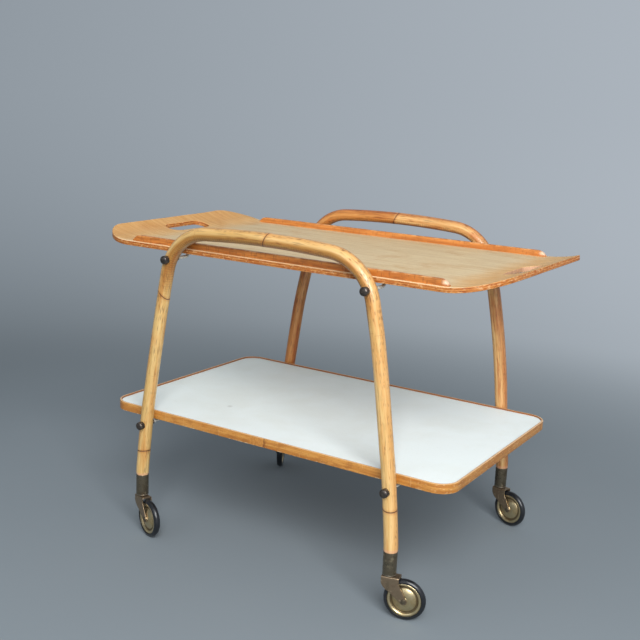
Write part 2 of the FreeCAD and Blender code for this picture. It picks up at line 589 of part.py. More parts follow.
for side, face in SIDES.items():
    name = "tray_batten_" + side
    batten = body(name)
    half, rise = "(batten_long_" + side + " / 2)", "(batten_high - batten_tip)"
    run = "(sqrt(2 * batten_round * " + rise + " - " + rise + "^2))"
    outline(sketch(batten, "XZ_Plane", name + "_view"), [
        ("-" + half, "0"), (half, "0"), (half, "batten_tip", "batten_round", True),
        ("(" + half + " - " + run + ")", "batten_high"), ("-(" + half + " - " + run + ")",
                                                        "batten_high", "batten_round", True),
        ("-" + half, "batten_tip")])
    pad(batten, batten.Group[-1], name + "_wood", "batten_wide", both=True)
    fillet(batten, name + "_eased", "batten_ease",
           lambda edge: edge.BoundBox.ZMax > value("batten_high") - 1e-3
           and edge.BoundBox.YLength < 1e-3)
    holes = sketch(batten, "XY_Plane", name + "_holes")
    for x in BATTEN_SCREWS:
        circle(holes, "(" + x + " - batten_shift_" + side + ")", "0", "(screw_dia / 2)")
    pocket(batten, holes, name + "_hole", "screw_bite", up=True)
    place(batten, x="batten_shift_" + side, y=face + " * " + BATTEN_Y, z="tray_high")
    batten.Label = name + "_blank"
    # Its ends are shaped to the board where the board turns up.
    seated = doc.addObject("Part::Cut", name + "_seated")
    seated.Base = batten
    seated.Tool = tray
    node(seated, name)

    screws = []
    for number, x in enumerate(BATTEN_SCREWS, start=1):
        screw = wood_screw("tray_screw_%s_%d" % (side, number), "(ply_thick + screw_bite)")
        place(screw, x=x)
        screws.append(screw)
    row = group("tray_screws_" + side, screws)
    place(node(row, "tray_screws_" + side), y=face + " * " + BATTEN_Y, z=TRAY_LOW)

# ---------------------------------------------------------------------------------------------
# Casters: each is drawn with its stem on the local Z axis and its wheel trailing along +X
# ---------------------------------------------------------------------------------------------
AXLE_Z = "(wheel_dia / 2)"
for side, end in CORNERS:
    where = side + "_" + end
    spot = dict(x=ENDS[end] + " * foot_reach", y=SIDES[side] + " * " + HOOP_Y,
                turn="swivel_" + where)

    # Fork: one folded sheet with two trailing arms
    fork = body("fork_" + where)
    skirt = "(" + FORK_TOP + " - fork_skirt)"
    arm_x, arm_z = "(trail - fork_end * 0.6)", "(wheel_dia / 2 - fork_end * 0.8)"
    view = outline(sketch(fork, "XZ_Plane", "fork_view_" + where), [
        ("-fork_front", FORK_TOP), ("-fork_front", skirt, "(fork_rise * 0.65)", True),
        ("(trail / 8)", "(wheel_dia / 2 + fork_end * 2)"), (arm_x, arm_z, "fork_end", True),
        ("(trail + fork_end)", "(wheel_dia / 2)"), ("fork_back", skirt), ("fork_back", FORK_TOP)])
    pad(fork, view, "fork_block_" + where, FORK_OUT, both=True)
    fillet(fork, "fork_folds_" + where, "fork_round",
           lambda edge: edge.BoundBox.ZMin > value(FORK_TOP) - 1e-3
           and edge.BoundBox.YLength < 1e-3)
    gap_y, roof = "(" + FORK_IN + " / 2)", "(" + FORK_TOP + " - fork_sheet)"
    hollow = outline(sketch(fork, "YZ_Plane", "fork_hollow_" + where), [
        ("-" + gap_y, "0"), (gap_y, "0"), (gap_y, roof), ("-" + gap_y, roof)])
    pocket(fork, hollow, "fork_inside_" + where)
    pocket(fork, circle(sketch(fork, "XZ_Plane", "fork_axle_" + where), "trail", AXLE_Z,
                        "(axle_dia / 2)"), "fork_axle_hole_" + where)
    pocket(fork, circle(sketch(fork, "XY_Plane", "fork_stem_" + where), "0", "0",
                        "(stem_dia / 2)"), "fork_stem_hole_" + where)
    place(node(fork, "fork_" + where), **spot)

    # Stem with its collar and the riveted head under the fork's top
    low, under = "(" + roof + " - rivet_thick)", roof
    shaft, tip = "(stem_dia / 2)", "(" + FERRULE_LOW + " + socket_long - stem_short)"
    stem = turned("stem_" + where, [
        ("0", low), ("(rivet_dia / 2)", low), ("(rivet_dia / 2)", under), (shaft, under),
        (shaft, FORK_TOP), ("(collar_dia / 2)", FORK_TOP), ("(collar_dia / 2)", COLLAR_TOP),
        (shaft, COLLAR_TOP), (shaft, tip), ("0", tip)])
    place(node(stem, "stem_" + where), **spot)

    # Axle riveted through both arms
    out, pin, cap = "(" + FORK_OUT + " / 2)", "(axle_dia / 2)", "(axle_head_dia / 2)"
    face = "(" + FORK_OUT + " / 2 + axle_head_thick)"
    dome = "((axle_head_dia^2 / 4 + axle_head_thick^2) / (2 * axle_head_thick))"
    axle = turned("axle_" + where, [
        ("0", "-" + face, dome, True), (cap, "-" + out), (pin, "-" + out), (pin, out), (cap, out,
        dome, True), ("0", face)], "XY_Plane", AXLE_Z, "trail")
    place(node(axle, "axle_" + where), **spot)

    # Wheel: two pressed discs on a hub bush
    rim, hub, skin = "(disc_dia / 2)", "(bush_dia / 2)", "disc_sheet"
    crown, dip = "(crown_dia / 2)", "(groove_dia / 2)"
    pieces = []
    for hand, sign in (("near", "-1"), ("far", "1")):
        steps = [(hub, "disc_crown"), (crown, "(disc_crown - disc_sheet * 0.4)"),
                 ("(" + dip + " - 2 * disc_sheet)", "disc_groove"),
                 ("(" + dip + " + disc_sheet)", "disc_groove"),
                 ("(" + dip + " + 3 * disc_sheet)", "(disc_lip - disc_sheet)"), (rim, "disc_lip")]
        back = [(rim, "(disc_lip - disc_sheet)"),
                ("(" + dip + " + 3.4 * disc_sheet)", "(disc_lip - 2 * disc_sheet)"),
                ("(" + dip + " + 1.6 * disc_sheet)", "(disc_groove - disc_sheet)"),
                ("(" + dip + " - 2.4 * disc_sheet)", "(disc_groove - disc_sheet)"),
                (crown, "(disc_crown - disc_sheet * 1.4)"), (hub, "(disc_crown - disc_sheet)")]
        ring = [(r, sign + " * " + h) for r, h in steps + back]
        pieces.append(turned("disc_%s_%s" % (hand, where), ring, "XY_Plane", AXLE_Z, "trail"))
    reach = "(" + FORK_IN + " / 2 - bush_gap)"
    inside = "(axle_dia / 2 + running_gap)"
    pieces.append(turned("bush_" + where, [
        (inside, "-" + reach), (hub, "-" + reach), (hub, reach), (inside, reach)],
        "XY_Plane", AXLE_Z, "trail"))
    wheel = group("wheel_" + where, pieces)
    place(node(wheel, "wheel_" + where), **spot)

    # Tyre: a round crown with a root held between the discs' lips
    seat, root = "(disc_dia / 2 + 0.1 * disc_sheet)", "(disc_dia / 2 - 2 * disc_sheet)"
    shoulder, flank = "(wheel_dia / 2 - tyre_wide * 0.385)", "(tyre_wide / 2)"
    crest = "(tyre_wide * 0.385)"
    bow = "((tyre_wide^2 / 4 + " + crest + "^2) / (2 * " + crest + "))"
    pinch = "(disc_lip - 1.8 * disc_sheet)"
    tyre = turned("tyre_" + where, [
        (root, "-" + pinch), (seat, "-(disc_lip - 1.1 * disc_sheet)"), (seat, "-" + flank),
        (shoulder, "-" + flank, bow, True), (shoulder, flank), (seat, flank),
        (seat, "(disc_lip - 1.1 * disc_sheet)"), (root, pinch)], "XY_Plane", AXLE_Z, "trail")
    place(node(tyre, "tyre_" + where), **spot)

# ---------------------------------------------------------------------------------------------
# Recompute, check every object and write one STEP file for each sub-part
# ---------------------------------------------------------------------------------------------
doc.recompute()
for item in doc.Objects:
    if "Invalid" in item.State or "Error" in item.State:
        raise RuntimeError("%s did not compute: %s" % (item.Label, item.State))
os.makedirs("parts", exist_ok=True)
for name, item in parts.items():
    if item.Shape.isNull() or not item.Shape.isValid() or not item.Shape.Solids:
        raise RuntimeError("bad shape: " + name)
for name, item in parts.items():
    item.Shape.exportStep(os.path.join("parts", name + ".step"))
print("sub-parts", len(parts), "leg bow %.1f" % value(LEG_BOW), "arch %.1f" % value(ARCH))
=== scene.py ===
# %% [markdown]
# # A tea trolley with two cane hoops
#
# The trolley is two bent rattan canes that stand on casters, two steel cross rods
# above and two below, a white laminate shelf, and a bent plywood tray that lies
# loose on the upper rods. The engineering model of it arrives as a fixed frame.
# This script gives every part its looks: a finer mesh where the frame's is plain,
# and a finish built from shader nodes. Millimetres are used for shapes, because
# that is how a maker would measure them, and Blender gets them as metres.

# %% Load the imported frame
import bpy
import bmesh
from math import acos, asin, cos, exp, pi, radians, sin, sqrt
from mathutils import Matrix, Vector, noise as hum


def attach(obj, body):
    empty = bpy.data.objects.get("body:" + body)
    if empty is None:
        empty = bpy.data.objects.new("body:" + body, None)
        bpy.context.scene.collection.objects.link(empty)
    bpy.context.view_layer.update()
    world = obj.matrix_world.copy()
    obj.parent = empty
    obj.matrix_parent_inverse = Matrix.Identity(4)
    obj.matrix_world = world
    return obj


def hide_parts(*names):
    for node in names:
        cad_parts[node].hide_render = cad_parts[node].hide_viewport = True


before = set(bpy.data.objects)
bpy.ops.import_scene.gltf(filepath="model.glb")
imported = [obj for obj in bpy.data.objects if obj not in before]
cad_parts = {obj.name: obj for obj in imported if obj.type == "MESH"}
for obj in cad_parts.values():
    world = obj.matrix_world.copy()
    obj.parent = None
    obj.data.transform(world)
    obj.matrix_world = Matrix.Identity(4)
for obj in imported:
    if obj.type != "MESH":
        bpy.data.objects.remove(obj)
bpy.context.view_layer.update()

# %% [markdown]
# ## Colours and shader nodes
#
# A colour picker shows 8-bit values, while Blender mixes linear light, so `paint`
# turns one into the other. Building a material by hand means laying many nodes, so
# `put` lays one and wires its sockets in a single line. The other methods are the few
# steps that nearly every finish needs: a cloud of noise, a soft threshold and a mix of
# two colours. They belong to a bench, which knows the tree that is being filled, so
# that a finish reads as a list of what is done to the surface.

# %% Colour
def paint(red, green, blue):
    """An 8-bit colour as the linear colour that a shader socket holds."""
    def linear(value):
        value /= 255
        return value / 12.92 if value <= 0.04045 else ((value + 0.055) / 1.055) ** 2.4
    return (linear(red), linear(green), linear(blue), 1.0)

# %% A bench for laying nodes
class Bench:
    """A node tree being filled: each method lays nodes and returns what comes out."""

    def __init__(self, tree):
        self.tree = tree

    def put(self, kind, sockets=None, **settings):
        """Lays one shader node. A socket takes a value or another node's output."""
        node = self.tree.nodes.new("ShaderNode" + kind)
        for name, value in settings.items():
            setattr(node, name, value)
        for key, value in (sockets or {}).items():
            if isinstance(value, bpy.types.NodeSocket):
                self.tree.links.new(value, node.inputs[key])
            else:
                node.inputs[key].default_value = value
        return node

    def sum_of(self, how, *values):
        """One step of arithmetic on numbers."""
        return self.put("Math", dict(enumerate(values)), operation=how).outputs[0]

    def plus(self, *values):
        return self.sum_of("ADD", *values)

    def minus(self, *values):
        return self.sum_of("SUBTRACT", *values)

    def times(self, *values):
        return self.sum_of("MULTIPLY", *values)

    def most(self, *values):
        return self.sum_of("MAXIMUM", *values)

    def reach(self, x, y):
        """Distance from the middle."""
        return self.sum_of("SQRT", self.plus(self.times(x, x), self.times(y, y)))

    def off(self, value, target):
        """How far a value is from a target, either way."""
        return self.sum_of("ABSOLUTE", self.minus(value, target))

    def vector(self, how, *values):
        """One step of arithmetic on places."""
        return self.put("VectorMath", dict(enumerate(values)), operation=how).outputs[0]

    def cloud(self, place, scale=1.0, detail=2.0, rough=0.5, warp=0.0):
        """Soft random noise between 0 and 1."""
        return self.put("TexNoise", {"Vector": place, "Scale": scale, "Detail": detail,
                                     "Roughness": rough, "Distortion": warp}).outputs[0]

    def mask(self, value, start, end):
        """0 below start, 1 above end and soft between. It falls if end is below start."""
        return self.put("MapRange", {"Value": value, "From Min": start, "From Max": end},
                        interpolation_type="SMOOTHSTEP").outputs[0]

    def span(self, value, low, high, start=0.0, end=1.0):
        """Carries what lies between start and end over to low and high."""
        return self.put("MapRange", {"Value": value, "From Min": start, "From Max": end,
                                     "To Min": low, "To Max": high}).outputs[0]

    def mixed(self, share, under, over, how="MIX"):
        """Two colours mixed by a share between 0 and 1."""
        return self.put("Mix", {0: share, 6: under, 7: over}, data_type="RGBA",
                        blend_type=how).outputs[2]

# %% [markdown]
# ## Effects that several finishes share
#
# Wood, cane and old metal show the same few things at different sizes: long fibres,
# short dark or pale dashes, blotches and fine rubbed lines. Each could be built again
# in every material, but a node group is built once and placed with its own values,
# so a change to it reaches every finish. A group hands out only masks between 0 and 1.

# %% Make an empty effect
def effect(name, numbers, masks):
    """A node group that takes a place and numbers and gives masks: returns it, its bench and both ends."""
    group = bpy.data.node_groups.new(name, "ShaderNodeTree")
    new_socket = group.interface.new_socket
    new_socket(name="Place", in_out="INPUT", socket_type="NodeSocketVector")
    for label, value in numbers.items():
        new_socket(name=label, in_out="INPUT", socket_type="NodeSocketFloat").default_value = value
    for label in masks:
        new_socket(name=label, in_out="OUTPUT", socket_type="NodeSocketFloat")
    takes, gives = group.nodes.new("NodeGroupInput").outputs, group.nodes.new("NodeGroupOutput").inputs
    return group, Bench(group), takes, gives

# %% Long fibres, as in wood and cane
fibres, bench, takes, gives = effect(
    "long fibres", {"Threads per metre": 600.0, "Length": 0.03, "Wander": 0.0},
    ["Threads", "Streaks", "Cloud"])
place, per_metre = takes["Place"], takes["Threads per metre"]
drift = bench.put("TexNoise", {"Vector": bench.vector("MULTIPLY", place, (9, 30, 30)), "Scale": 1.0})
shaken = bench.vector("SUBTRACT", drift.outputs["Color"], (0.5, 0.5, 0.5))
wander = bench.put("VectorMath", {0: shaken, "Scale": takes["Wander"]}, operation="SCALE")
squeeze = bench.put("CombineXYZ", {0: takes["Length"], 1: 1.0, 2: 1.0})
run = bench.vector("MULTIPLY", bench.vector("ADD", place, wander.outputs[0]), squeeze.outputs[0])
fibres.links.new(bench.cloud(run, per_metre, 4, 0.62), gives["Threads"])
fibres.links.new(bench.cloud(run, bench.times(per_metre, 0.22), 3, 0.55), gives["Streaks"])
fibres.links.new(bench.cloud(place, 14.0), gives["Cloud"])

# %% Short dashes: pores, rays, chips and cracks
dashes, bench, takes, gives = effect(
    "short dashes", {"Along": 60.0, "Across": 600.0, "Share": 0.35, "Seed": 0.0}, ["Marks"])
size = bench.put("CombineXYZ", {0: takes["Along"], 1: takes["Across"], 2: takes["Across"]}).outputs[0]
seed = bench.put("CombineXYZ", {0: takes["Seed"], 1: takes["Seed"]}).outputs[0]
moved = bench.vector("ADD", bench.vector("MULTIPLY", takes["Place"], size), seed)
cells = bench.put("TexVoronoi", {"Vector": moved, "Scale": 1.0, "Randomness": 1.0}).outputs
pick = bench.put("SeparateColor", {0: cells["Color"]}).outputs[0]
chosen = bench.sum_of("LESS_THAN", pick, takes["Share"])
dashes.links.new(bench.times(bench.mask(cells["Distance"], 0.42, 0.2), chosen), gives["Marks"])

# %% Blotches and rubbed lines of age
age, bench, takes, gives = effect("age", {"Patch": 40.0, "Fine": 400.0}, ["Blotches", "Specks", "Rubs"])
place, patch, fine = takes["Place"], takes["Patch"], takes["Fine"]
lines = bench.put("TexWave", {"Vector": place, "Scale": fine, "Distortion": 60.0,
                              "Detail": 3.0, "Detail Scale": 0.4}).outputs[1]
rubbed = bench.mask(bench.cloud(place, patch), 0.5, 0.7)
age.links.new(bench.cloud(place, patch, 4, 0.6, 0.4), gives["Blotches"])
age.links.new(bench.mask(bench.cloud(place, fine), 0.62, 0.74), gives["Specks"])
age.links.new(bench.times(bench.mask(lines, 0.97, 1.0), rubbed), gives["Rubs"])
print("effects:", [group.name for group in (fibres, dashes, age)])

# %% [markdown]
# ## A finish, coat by coat
#
# A real surface is built up in layers: the wood, its grain, the varnish, the dirt. A
# finish is made the same way. It starts as a Principled BSDF with a first coat of two
# tones, and each further coat is laid only where a mask lets it through. Blender could
# nest the mix nodes by hand, but then their order, which matters most, is hard to read.

# %% A finish, coat by coat
class Finish(Bench):
    """A material being made, over a place: the piece's own coordinates, which turn with it, or,
    where it was bent, those stored before the bending, so that grain follows the bends."""

    def __init__(self, name, bent=False, **constants):
        self.material = bpy.data.materials.new(name)
        self.material.use_nodes = True
        super().__init__(self.material.node_tree)
        self.tree.nodes.clear()
        shader = self.put("BsdfPrincipled", {k.replace("_", " "): v for k, v in constants.items()})
        self.tree.links.new(shader.outputs[0], self.put("OutputMaterial").inputs[0])
        self.sockets, self.colour = shader.inputs, None
        self.place = (self.put("Attribute", attribute_name="laid").outputs["Vector"] if bent
                      else self.put("TexCoord").outputs["Object"])

    def axes(self):
        return self.put("SeparateXYZ", {0: self.place}).outputs

    def noise(self, x, y, z, detail=2.0, rough=0.5):
        """Noise with its own scale along each axis."""
        return self.cloud(self.vector("MULTIPLY", self.place, (x, y, z)), 1.0, detail, rough)

    def shared(self, group, *numbers):
        """A shared effect with this finish's own numbers, in the order of its sockets."""
        sockets = {k + 1: number for k, number in enumerate(numbers)}
        return self.put("Group", {0: self.place, **sockets}, node_tree=group).outputs

    def marks(self, along, across, share, seed=0.0):
        return self.shared(dashes, along, across, share, seed)[0]

    def first(self, share, light, dark):
        """The first coat: two tones."""
        self.colour = self.mixed(share, paint(*light), paint(*dark))

    def coat(self, share, tone, strength=None, how="MIX"):
        """Lays one more tone where the mask is."""
        if strength is not None:
            share = self.times(share, strength)
        self.colour = self.mixed(share, self.colour, paint(*tone), how)

    def stain(self, share, tone, strength=None):
        """Darkens what is there by a tone, as a stain does."""
        self.coat(share, tone, strength, "MULTIPLY")

    def done(self, height, strength, distance=0.0004, **masks):
        """Joins the colour, a bumped normal and the masks to the shader."""
        bump = self.put("Bump", {"Height": height, "Strength": strength, "Distance": distance})
        self.tree.links.new(self.colour, self.sockets["Base Color"])
        self.tree.links.new(bump.outputs[0], self.sockets["Normal"])
        for name, value in masks.items():
            self.tree.links.new(value, self.sockets[name.replace("_", " ")])
        return self.material

# %% [markdown]
# ## Making a piece
#
# Modifiers could do some of this, but exact points keep each part where the frame has
# it, and keep every mesh closed.

# %% Make one piece
MM = 0.001                     # metres in a millimetre
SHARP = radians(38)       # faces that meet at more than this show an edge


def piece(name, shape, finish, body, stands_for, laid=None, marks=None):
    """Points in mm and faces become an object that rides on a body of the frame."""
    points, faces = shape
    mesh = bpy.data.meshes.new(name)
    mesh.from_pydata([Vector(p) * MM for p in points], [], faces)
    work = bmesh.new()
    work.from_mesh(mesh)
    bmesh.ops.recalc_face_normals(work, faces=work.faces[:])
    work.to_mesh(mesh)
    work.free()
    mesh.shade_smooth()
    mesh.set_sharp_from_angle(angle=SHARP)
    if laid:
        store = mesh.attributes.new("laid", "FLOAT_VECTOR", "POINT")
        store.data.foreach_set("vector", [v * MM for place in laid for v in place])
    for label, values in (marks or {}).items():
        mesh.attributes.new(label, "FLOAT", "POINT").data.foreach_set("value", values)
    mesh.materials.append(finish)
    made = bpy.data.objects.new(name, mesh)
    bpy.context.scene.collection.objects.link(made)
    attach(made, body)
    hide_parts(*stands_for)
    euler = len(points) - len(mesh.edges) + len(mesh.polygons)
    print(f"{name}: {len(points)} points, {len(faces)} faces, Euler number {euler}")


def together(*shapes):
    """Several closed shapes as one list of points and faces."""
    points, faces = [], []
    for some_points, some_faces in shapes:
        base = len(points)
        points += list(some_points)
        faces += [[base + i for i in face] for face in some_faces]
    return points, faces


def placed(shape, where):
    """A shape moved and turned by a matrix."""
    return [where @ Vector(p) for p in shape[0]], shape[1]

# %% [markdown]
# ## Three ways to make metal and wood
#
# Small turned parts, such as nuts, ferrules and wheels, are profiles spun round an
# axis, which is a lathe's work. Long parts are a section carried along a path.
# Sheet parts are a grid of quads with a second grid below it and a wall round the
# rim. In each, corners are eased by a small round first, because no real edge is
# perfectly sharp and the round catches a thin line of light.

# %% Ease corners
def eased(profile, size, closed=False, bits=3):
    """Rounds the corners of a profile by a small curve."""
    count, soft = len(profile), []
    for i, here in enumerate(profile):
        if not closed and i in (0, count - 1):
            soft.append(tuple(here))
            continue
        here = Vector(here)
        back, on = Vector(profile[i - 1]) - here, Vector(profile[(i + 1) % count]) - here
        cut = min(size, back.length * 0.45, on.length * 0.45)
        start, end = here + back.normalized() * cut, here + on.normalized() * cut
        for t in (k / bits for k in range(bits + 1)):
            soft.append(tuple(start * (1 - t) ** 2 + here * 2 * t * (1 - t) + end * t * t))
    return soft


def quarter(bits):
    """The angles of a quarter circle, in even steps."""
    return [pi / 2 * k / bits for k in range(bits + 1)]

# %% Turn on the lathe
def turned(profile, sides=48, closed=False, flats=None):
    """Spins (radius, height) round Z. An open profile starts and ends on the axis. Flats are
    given as (corner radius, number of sides), as on a nut."""
    points, faces, rings = [], [], []
    for radius, height in profile:
        if radius < 1e-6:
            rings.append([len(points)])
            points.append((0, 0, height))
            continue
        rings.append(range(len(points), len(points) + sides))
        for k in range(sides):
            angle = 2 * pi * k / sides
            reach = radius
            if flats:
                half_side = pi / flats[1]
                sector = (angle + half_side) % (2 * pi / flats[1]) - half_side
                reach = min(radius, flats[0] * cos(half_side) / cos(sector))
            points.append((reach * cos(angle), reach * sin(angle), height))
    for low, high in list(zip(rings, rings[1:])) + ([(rings[-1], rings[0])] if closed else []):
        for k in range(sides):
            n = (k + 1) % sides
            if len(low) == 1:
                faces.append((low[0], high[k], high[n]))
            elif len(high) == 1:
                faces.append((low[k], low[n], high[0]))
            else:
                faces.append((low[k], low[n], high[n], high[k]))
    return points, faces

# %% Carry a section along a path
def skin(rings, wide, closed=False):
    """Quads between neighbouring rings of points, and an end face on each end."""
    faces = []
    for i in range(rings if closed else rings - 1):
        n = (i + 1) % rings
        for k in range(wide):
            m = (k + 1) % wide
            faces.append((i * wide + k, i * wide + m, n * wide + m, n * wide + k))
    if not closed:
        faces += [tuple(range(wide)), tuple(range((rings - 1) * wide, rings * wide))]
    return faces


def swept(path, flat, section, closed=False, fit=None):
    """The path lies in a plane with normal `flat`. A section point is (along flat, outward).
    Returns the shape and, for each point, its length along the path and its section point."""
    points, laid, run, count = [], [], 0.0, len(path)
    for i, here in enumerate(path):
        if i:
            run += (here - path[i - 1]).length
        before = path[i - 1] if i or closed else here
        after = path[(i + 1) % count] if i < count - 1 or closed else here
        side = (after - before).normalized().cross(flat)
        for a, b in (fit(section, run) if fit else section):
            points.append(here + flat * a + side * b)
            laid.append((run, b, a))
    return (points, skin(count, len(section), closed)), laid

# %% Lay out a sheet with eased edges
def sheet_shape(columns, rows, place, rim, gaps=()):
    """A grid above, a grid below and a wall round each rim. `place` gives a point for
    (column, row, inset from the rim, depth). `rim` lists (inset, depth) from top to bottom."""
    found, points, laid, faces, walls = {}, [], [], [], {}

    def point(i, k, level):
        if (i, k, level) not in found:
            found[i, k, level] = len(points)
            at, flat_at = place(i, k, *rim[level])
            points.append(at)
            laid.append(flat_at)
        return found[i, k, level]

    last = len(rim) - 1
    for i, k in ((i, k) for i in range(columns - 1) for k in range(rows - 1) if (i, k) not in gaps):
        corners = [(i, k), (i + 1, k), (i + 1, k + 1), (i, k + 1)]
        faces.append([point(*c, 0) for c in corners])
        faces.append([point(*c, last) for c in reversed(corners)])
        for a, b in zip(corners, corners[1:] + corners[:1]):
            key = frozenset((a, b))                     # an edge met twice lies inside the sheet
            walls[key] = None if key in walls else (a, b)
    for a, b in filter(None, walls.values()):
        for level in range(last):
            faces.append([point(*b, level), point(*a, level), point(*a, level + 1), point(*b, level + 1)])
    return (points, faces), laid


def rim_of(thick, ease, bits=3):
    """How a sheet's edge goes round: quarter round, straight, quarter round."""
    arc = [(ease * (1 - sin(t)), ease * (1 - cos(t))) for t in quarter(bits)]
    return arc + [(inset, thick - depth) for inset, depth in reversed(arc)]

# %% [markdown]
# ## The hoops: two bent canes
#
# Each hoop is one length of rattan, steamed and bent: straight-ish legs that lean in,
# two tight bends and a gently arched top. Rattan isn't a perfect tube. It has joints
# where leaves once grew, each a slanting ridge with a dark groove, and its thickness
# wavers. A curve object with a bevel would give an even tube, so the cane is carried
# along its own centre line here, ring by ring, with extra rings where a joint lies.

# %% The centre line of a hoop
CANE, SPIGOT = 13.1, 11.45     # radius of the cane, and of its end inside the ferrule
HOOP_Y = 253.4                 # distance of each hoop from the middle
CREST = 646.5                  # top of the hoop
FOOT_X, FOOT_Z, SPIGOT_Z = 286.0, 124.0, 82.0
LEAN, TURN_IN, TOP = (radians(a) for a in (5, 12, 85.8))
BEND, FOOT_BEND = 98.0, 180.0  # radii of the tight bend and of the curve into the foot


def toward(angle):
    """One step in the plane of the hoop."""
    return Vector((cos(angle), sin(angle)))


knee = Vector((FOOT_X - FOOT_BEND + FOOT_BEND * cos(LEAN), FOOT_Z + FOOT_BEND * sin(LEAN)))
rise = (1 - sin(TOP)) / cos(TOP)
leg_bow = (CREST - CANE - knee.y - BEND * (sin(TOP) - sin(TURN_IN))
           - rise * (knee.x - BEND * (cos(TURN_IN) - cos(TOP)))) / (
    sin(TURN_IN) - sin(LEAN) - rise * (cos(LEAN) - cos(TURN_IN)))
leg_centre = knee - leg_bow * toward(LEAN)
bend_centre = leg_centre + leg_bow * toward(TURN_IN) - BEND * toward(TURN_IN)
brow = bend_centre + BEND * toward(TOP)
arch = brow.x / cos(TOP)
HOOP_ARCS = [(Vector((0, brow.y - arch * sin(TOP))), arch, pi / 2, TOP),
             (bend_centre, BEND, TOP, TURN_IN), (leg_centre, leg_bow, TURN_IN, LEAN),
             (Vector((FOOT_X - FOOT_BEND, FOOT_Z)), FOOT_BEND, LEAN, 0.0)]
HALF_HOOP = sum(radius * (start - end) for _, radius, start, end in HOOP_ARCS) + FOOT_Z - SPIGOT_Z


def along_hoop(s):
    """Point (x, z) and outward direction at length s from the crest; s below 0 is the left half."""
    left, side = abs(s), -1 if s < 0 else 1
    for centre, radius, start, end in HOOP_ARCS:
        if left <= radius * (start - end):
            out = toward(start - left / radius)
            at = centre + radius * out
            return Vector((side * at.x, at.y)), Vector((side * out.x, out.y))
        left -= radius * (start - end)
    return Vector((side * FOOT_X, FOOT_Z - left)), Vector((side, 0))


def hoop_length_at(z, side):
    """How far from the crest the leg passes a height."""
    low, high = 0.0, HALF_HOOP
    for _ in range(40):
        middle = (low + high) / 2
        low, high = (middle, high) if along_hoop(middle)[0].y > z else (low, middle)
    return side * low


print(f"half a hoop is {HALF_HOOP:.1f} mm long, leg bow {leg_bow:.1f}, arch {arch:.1f}")

# %% Grow a cane with its joints
def drifted(s, height, wander):
    """Between the rods no cane is quite straight or even: mm outward and mm of extra girth."""
    between = min(1.0, max(0.0, (height - 240) / 325))
    free = min(1.0, 3 * sin(pi * between) ** 2)
    bumps, girth = wander[0 if s < 0 else 1]
    swing = sum(far * exp(-((height - at) / reach) ** 2) for at, far, reach in bumps)
    return swing * free, girth * free


def every(step, start, length):
    """Stations along the cane, rounded so that a shared one is met only once."""
    return {round(start + step * k, 2) for k in range(int(length / step) + 1)}


RIDGE, RIDGE_WIDE, GROOVE, GROOVE_WIDE = 0.24, 7.0, 0.4, 0.8   # of a joint


def cane_shape(y, joints, seed, wander):
    """joints: (length from crest, slant outward, slant to the front)."""
    stations = every(4.0, -HALF_HOOP, 2 * HALF_HOOP) | {HALF_HOOP}
    for at, out, fore in joints:
        reach = abs(out) + abs(fore) + 3.0
        stations |= every(0.7, at - reach, 2 * reach)
    stations = sorted(s for s in stations if abs(s) <= HALF_HOOP)
    sides, points, laid, near = 40, [], [], []
    foot_s = HALF_HOOP - (FOOT_Z - SPIGOT_Z)
    for s in stations:
        at, out = along_hoop(s)
        swing, girth = drifted(s, at.y, wander)
        at = at + out * swing
        for k in range(sides):
            angle = 2 * pi * k / sides
            c, f = cos(angle), sin(angle)
            gap = min((s - ring[0] - ring[1] * c - ring[2] * f for ring in joints), key=abs)
            radius = CANE + girth - 0.3 + 0.1 * hum.noise(Vector((s * 0.012, c + seed, f)))
            radius += RIDGE * exp(-(gap / RIDGE_WIDE) ** 2) - GROOVE * exp(-(gap / GROOVE_WIDE) ** 2)
            if abs(s) > foot_s:
                radius = SPIGOT
            points.append((at.x + out.x * c * radius, y - f * radius, at.y + out.y * c * radius))
            laid.append((s, c * radius, f * radius))
            near.append(max(-0.03, min(0.03, gap * MM)))
    return (points, skin(len(stations), sides)), laid, near


front_joints = [(5.0, 4.7, 0.0), (hoop_length_at(504, -1), 8.0, 1.0), (hoop_length_at(176, -1), -2.6, 0.6),
                (hoop_length_at(200, 1), 2.4, 2.6)]
back_joints = [(-4.0, 6.0, 0.0), (hoop_length_at(196, -1), 3.0, 1.0), (hoop_length_at(214, 1), -4.0, 2.0)]
# for the left and the right leg: bumps of (height, mm outward, reach), and extra girth
front_wander = (([(400, -1.6, 110)], -0.4), ([(340, -1.2, 70), (500, 0.8, 50)], 0.1))
back_wander = (([(520, -1.5, 50), (400, 1.0, 50)], 0.3), ([(400, 2.0, 110)], 0.6))
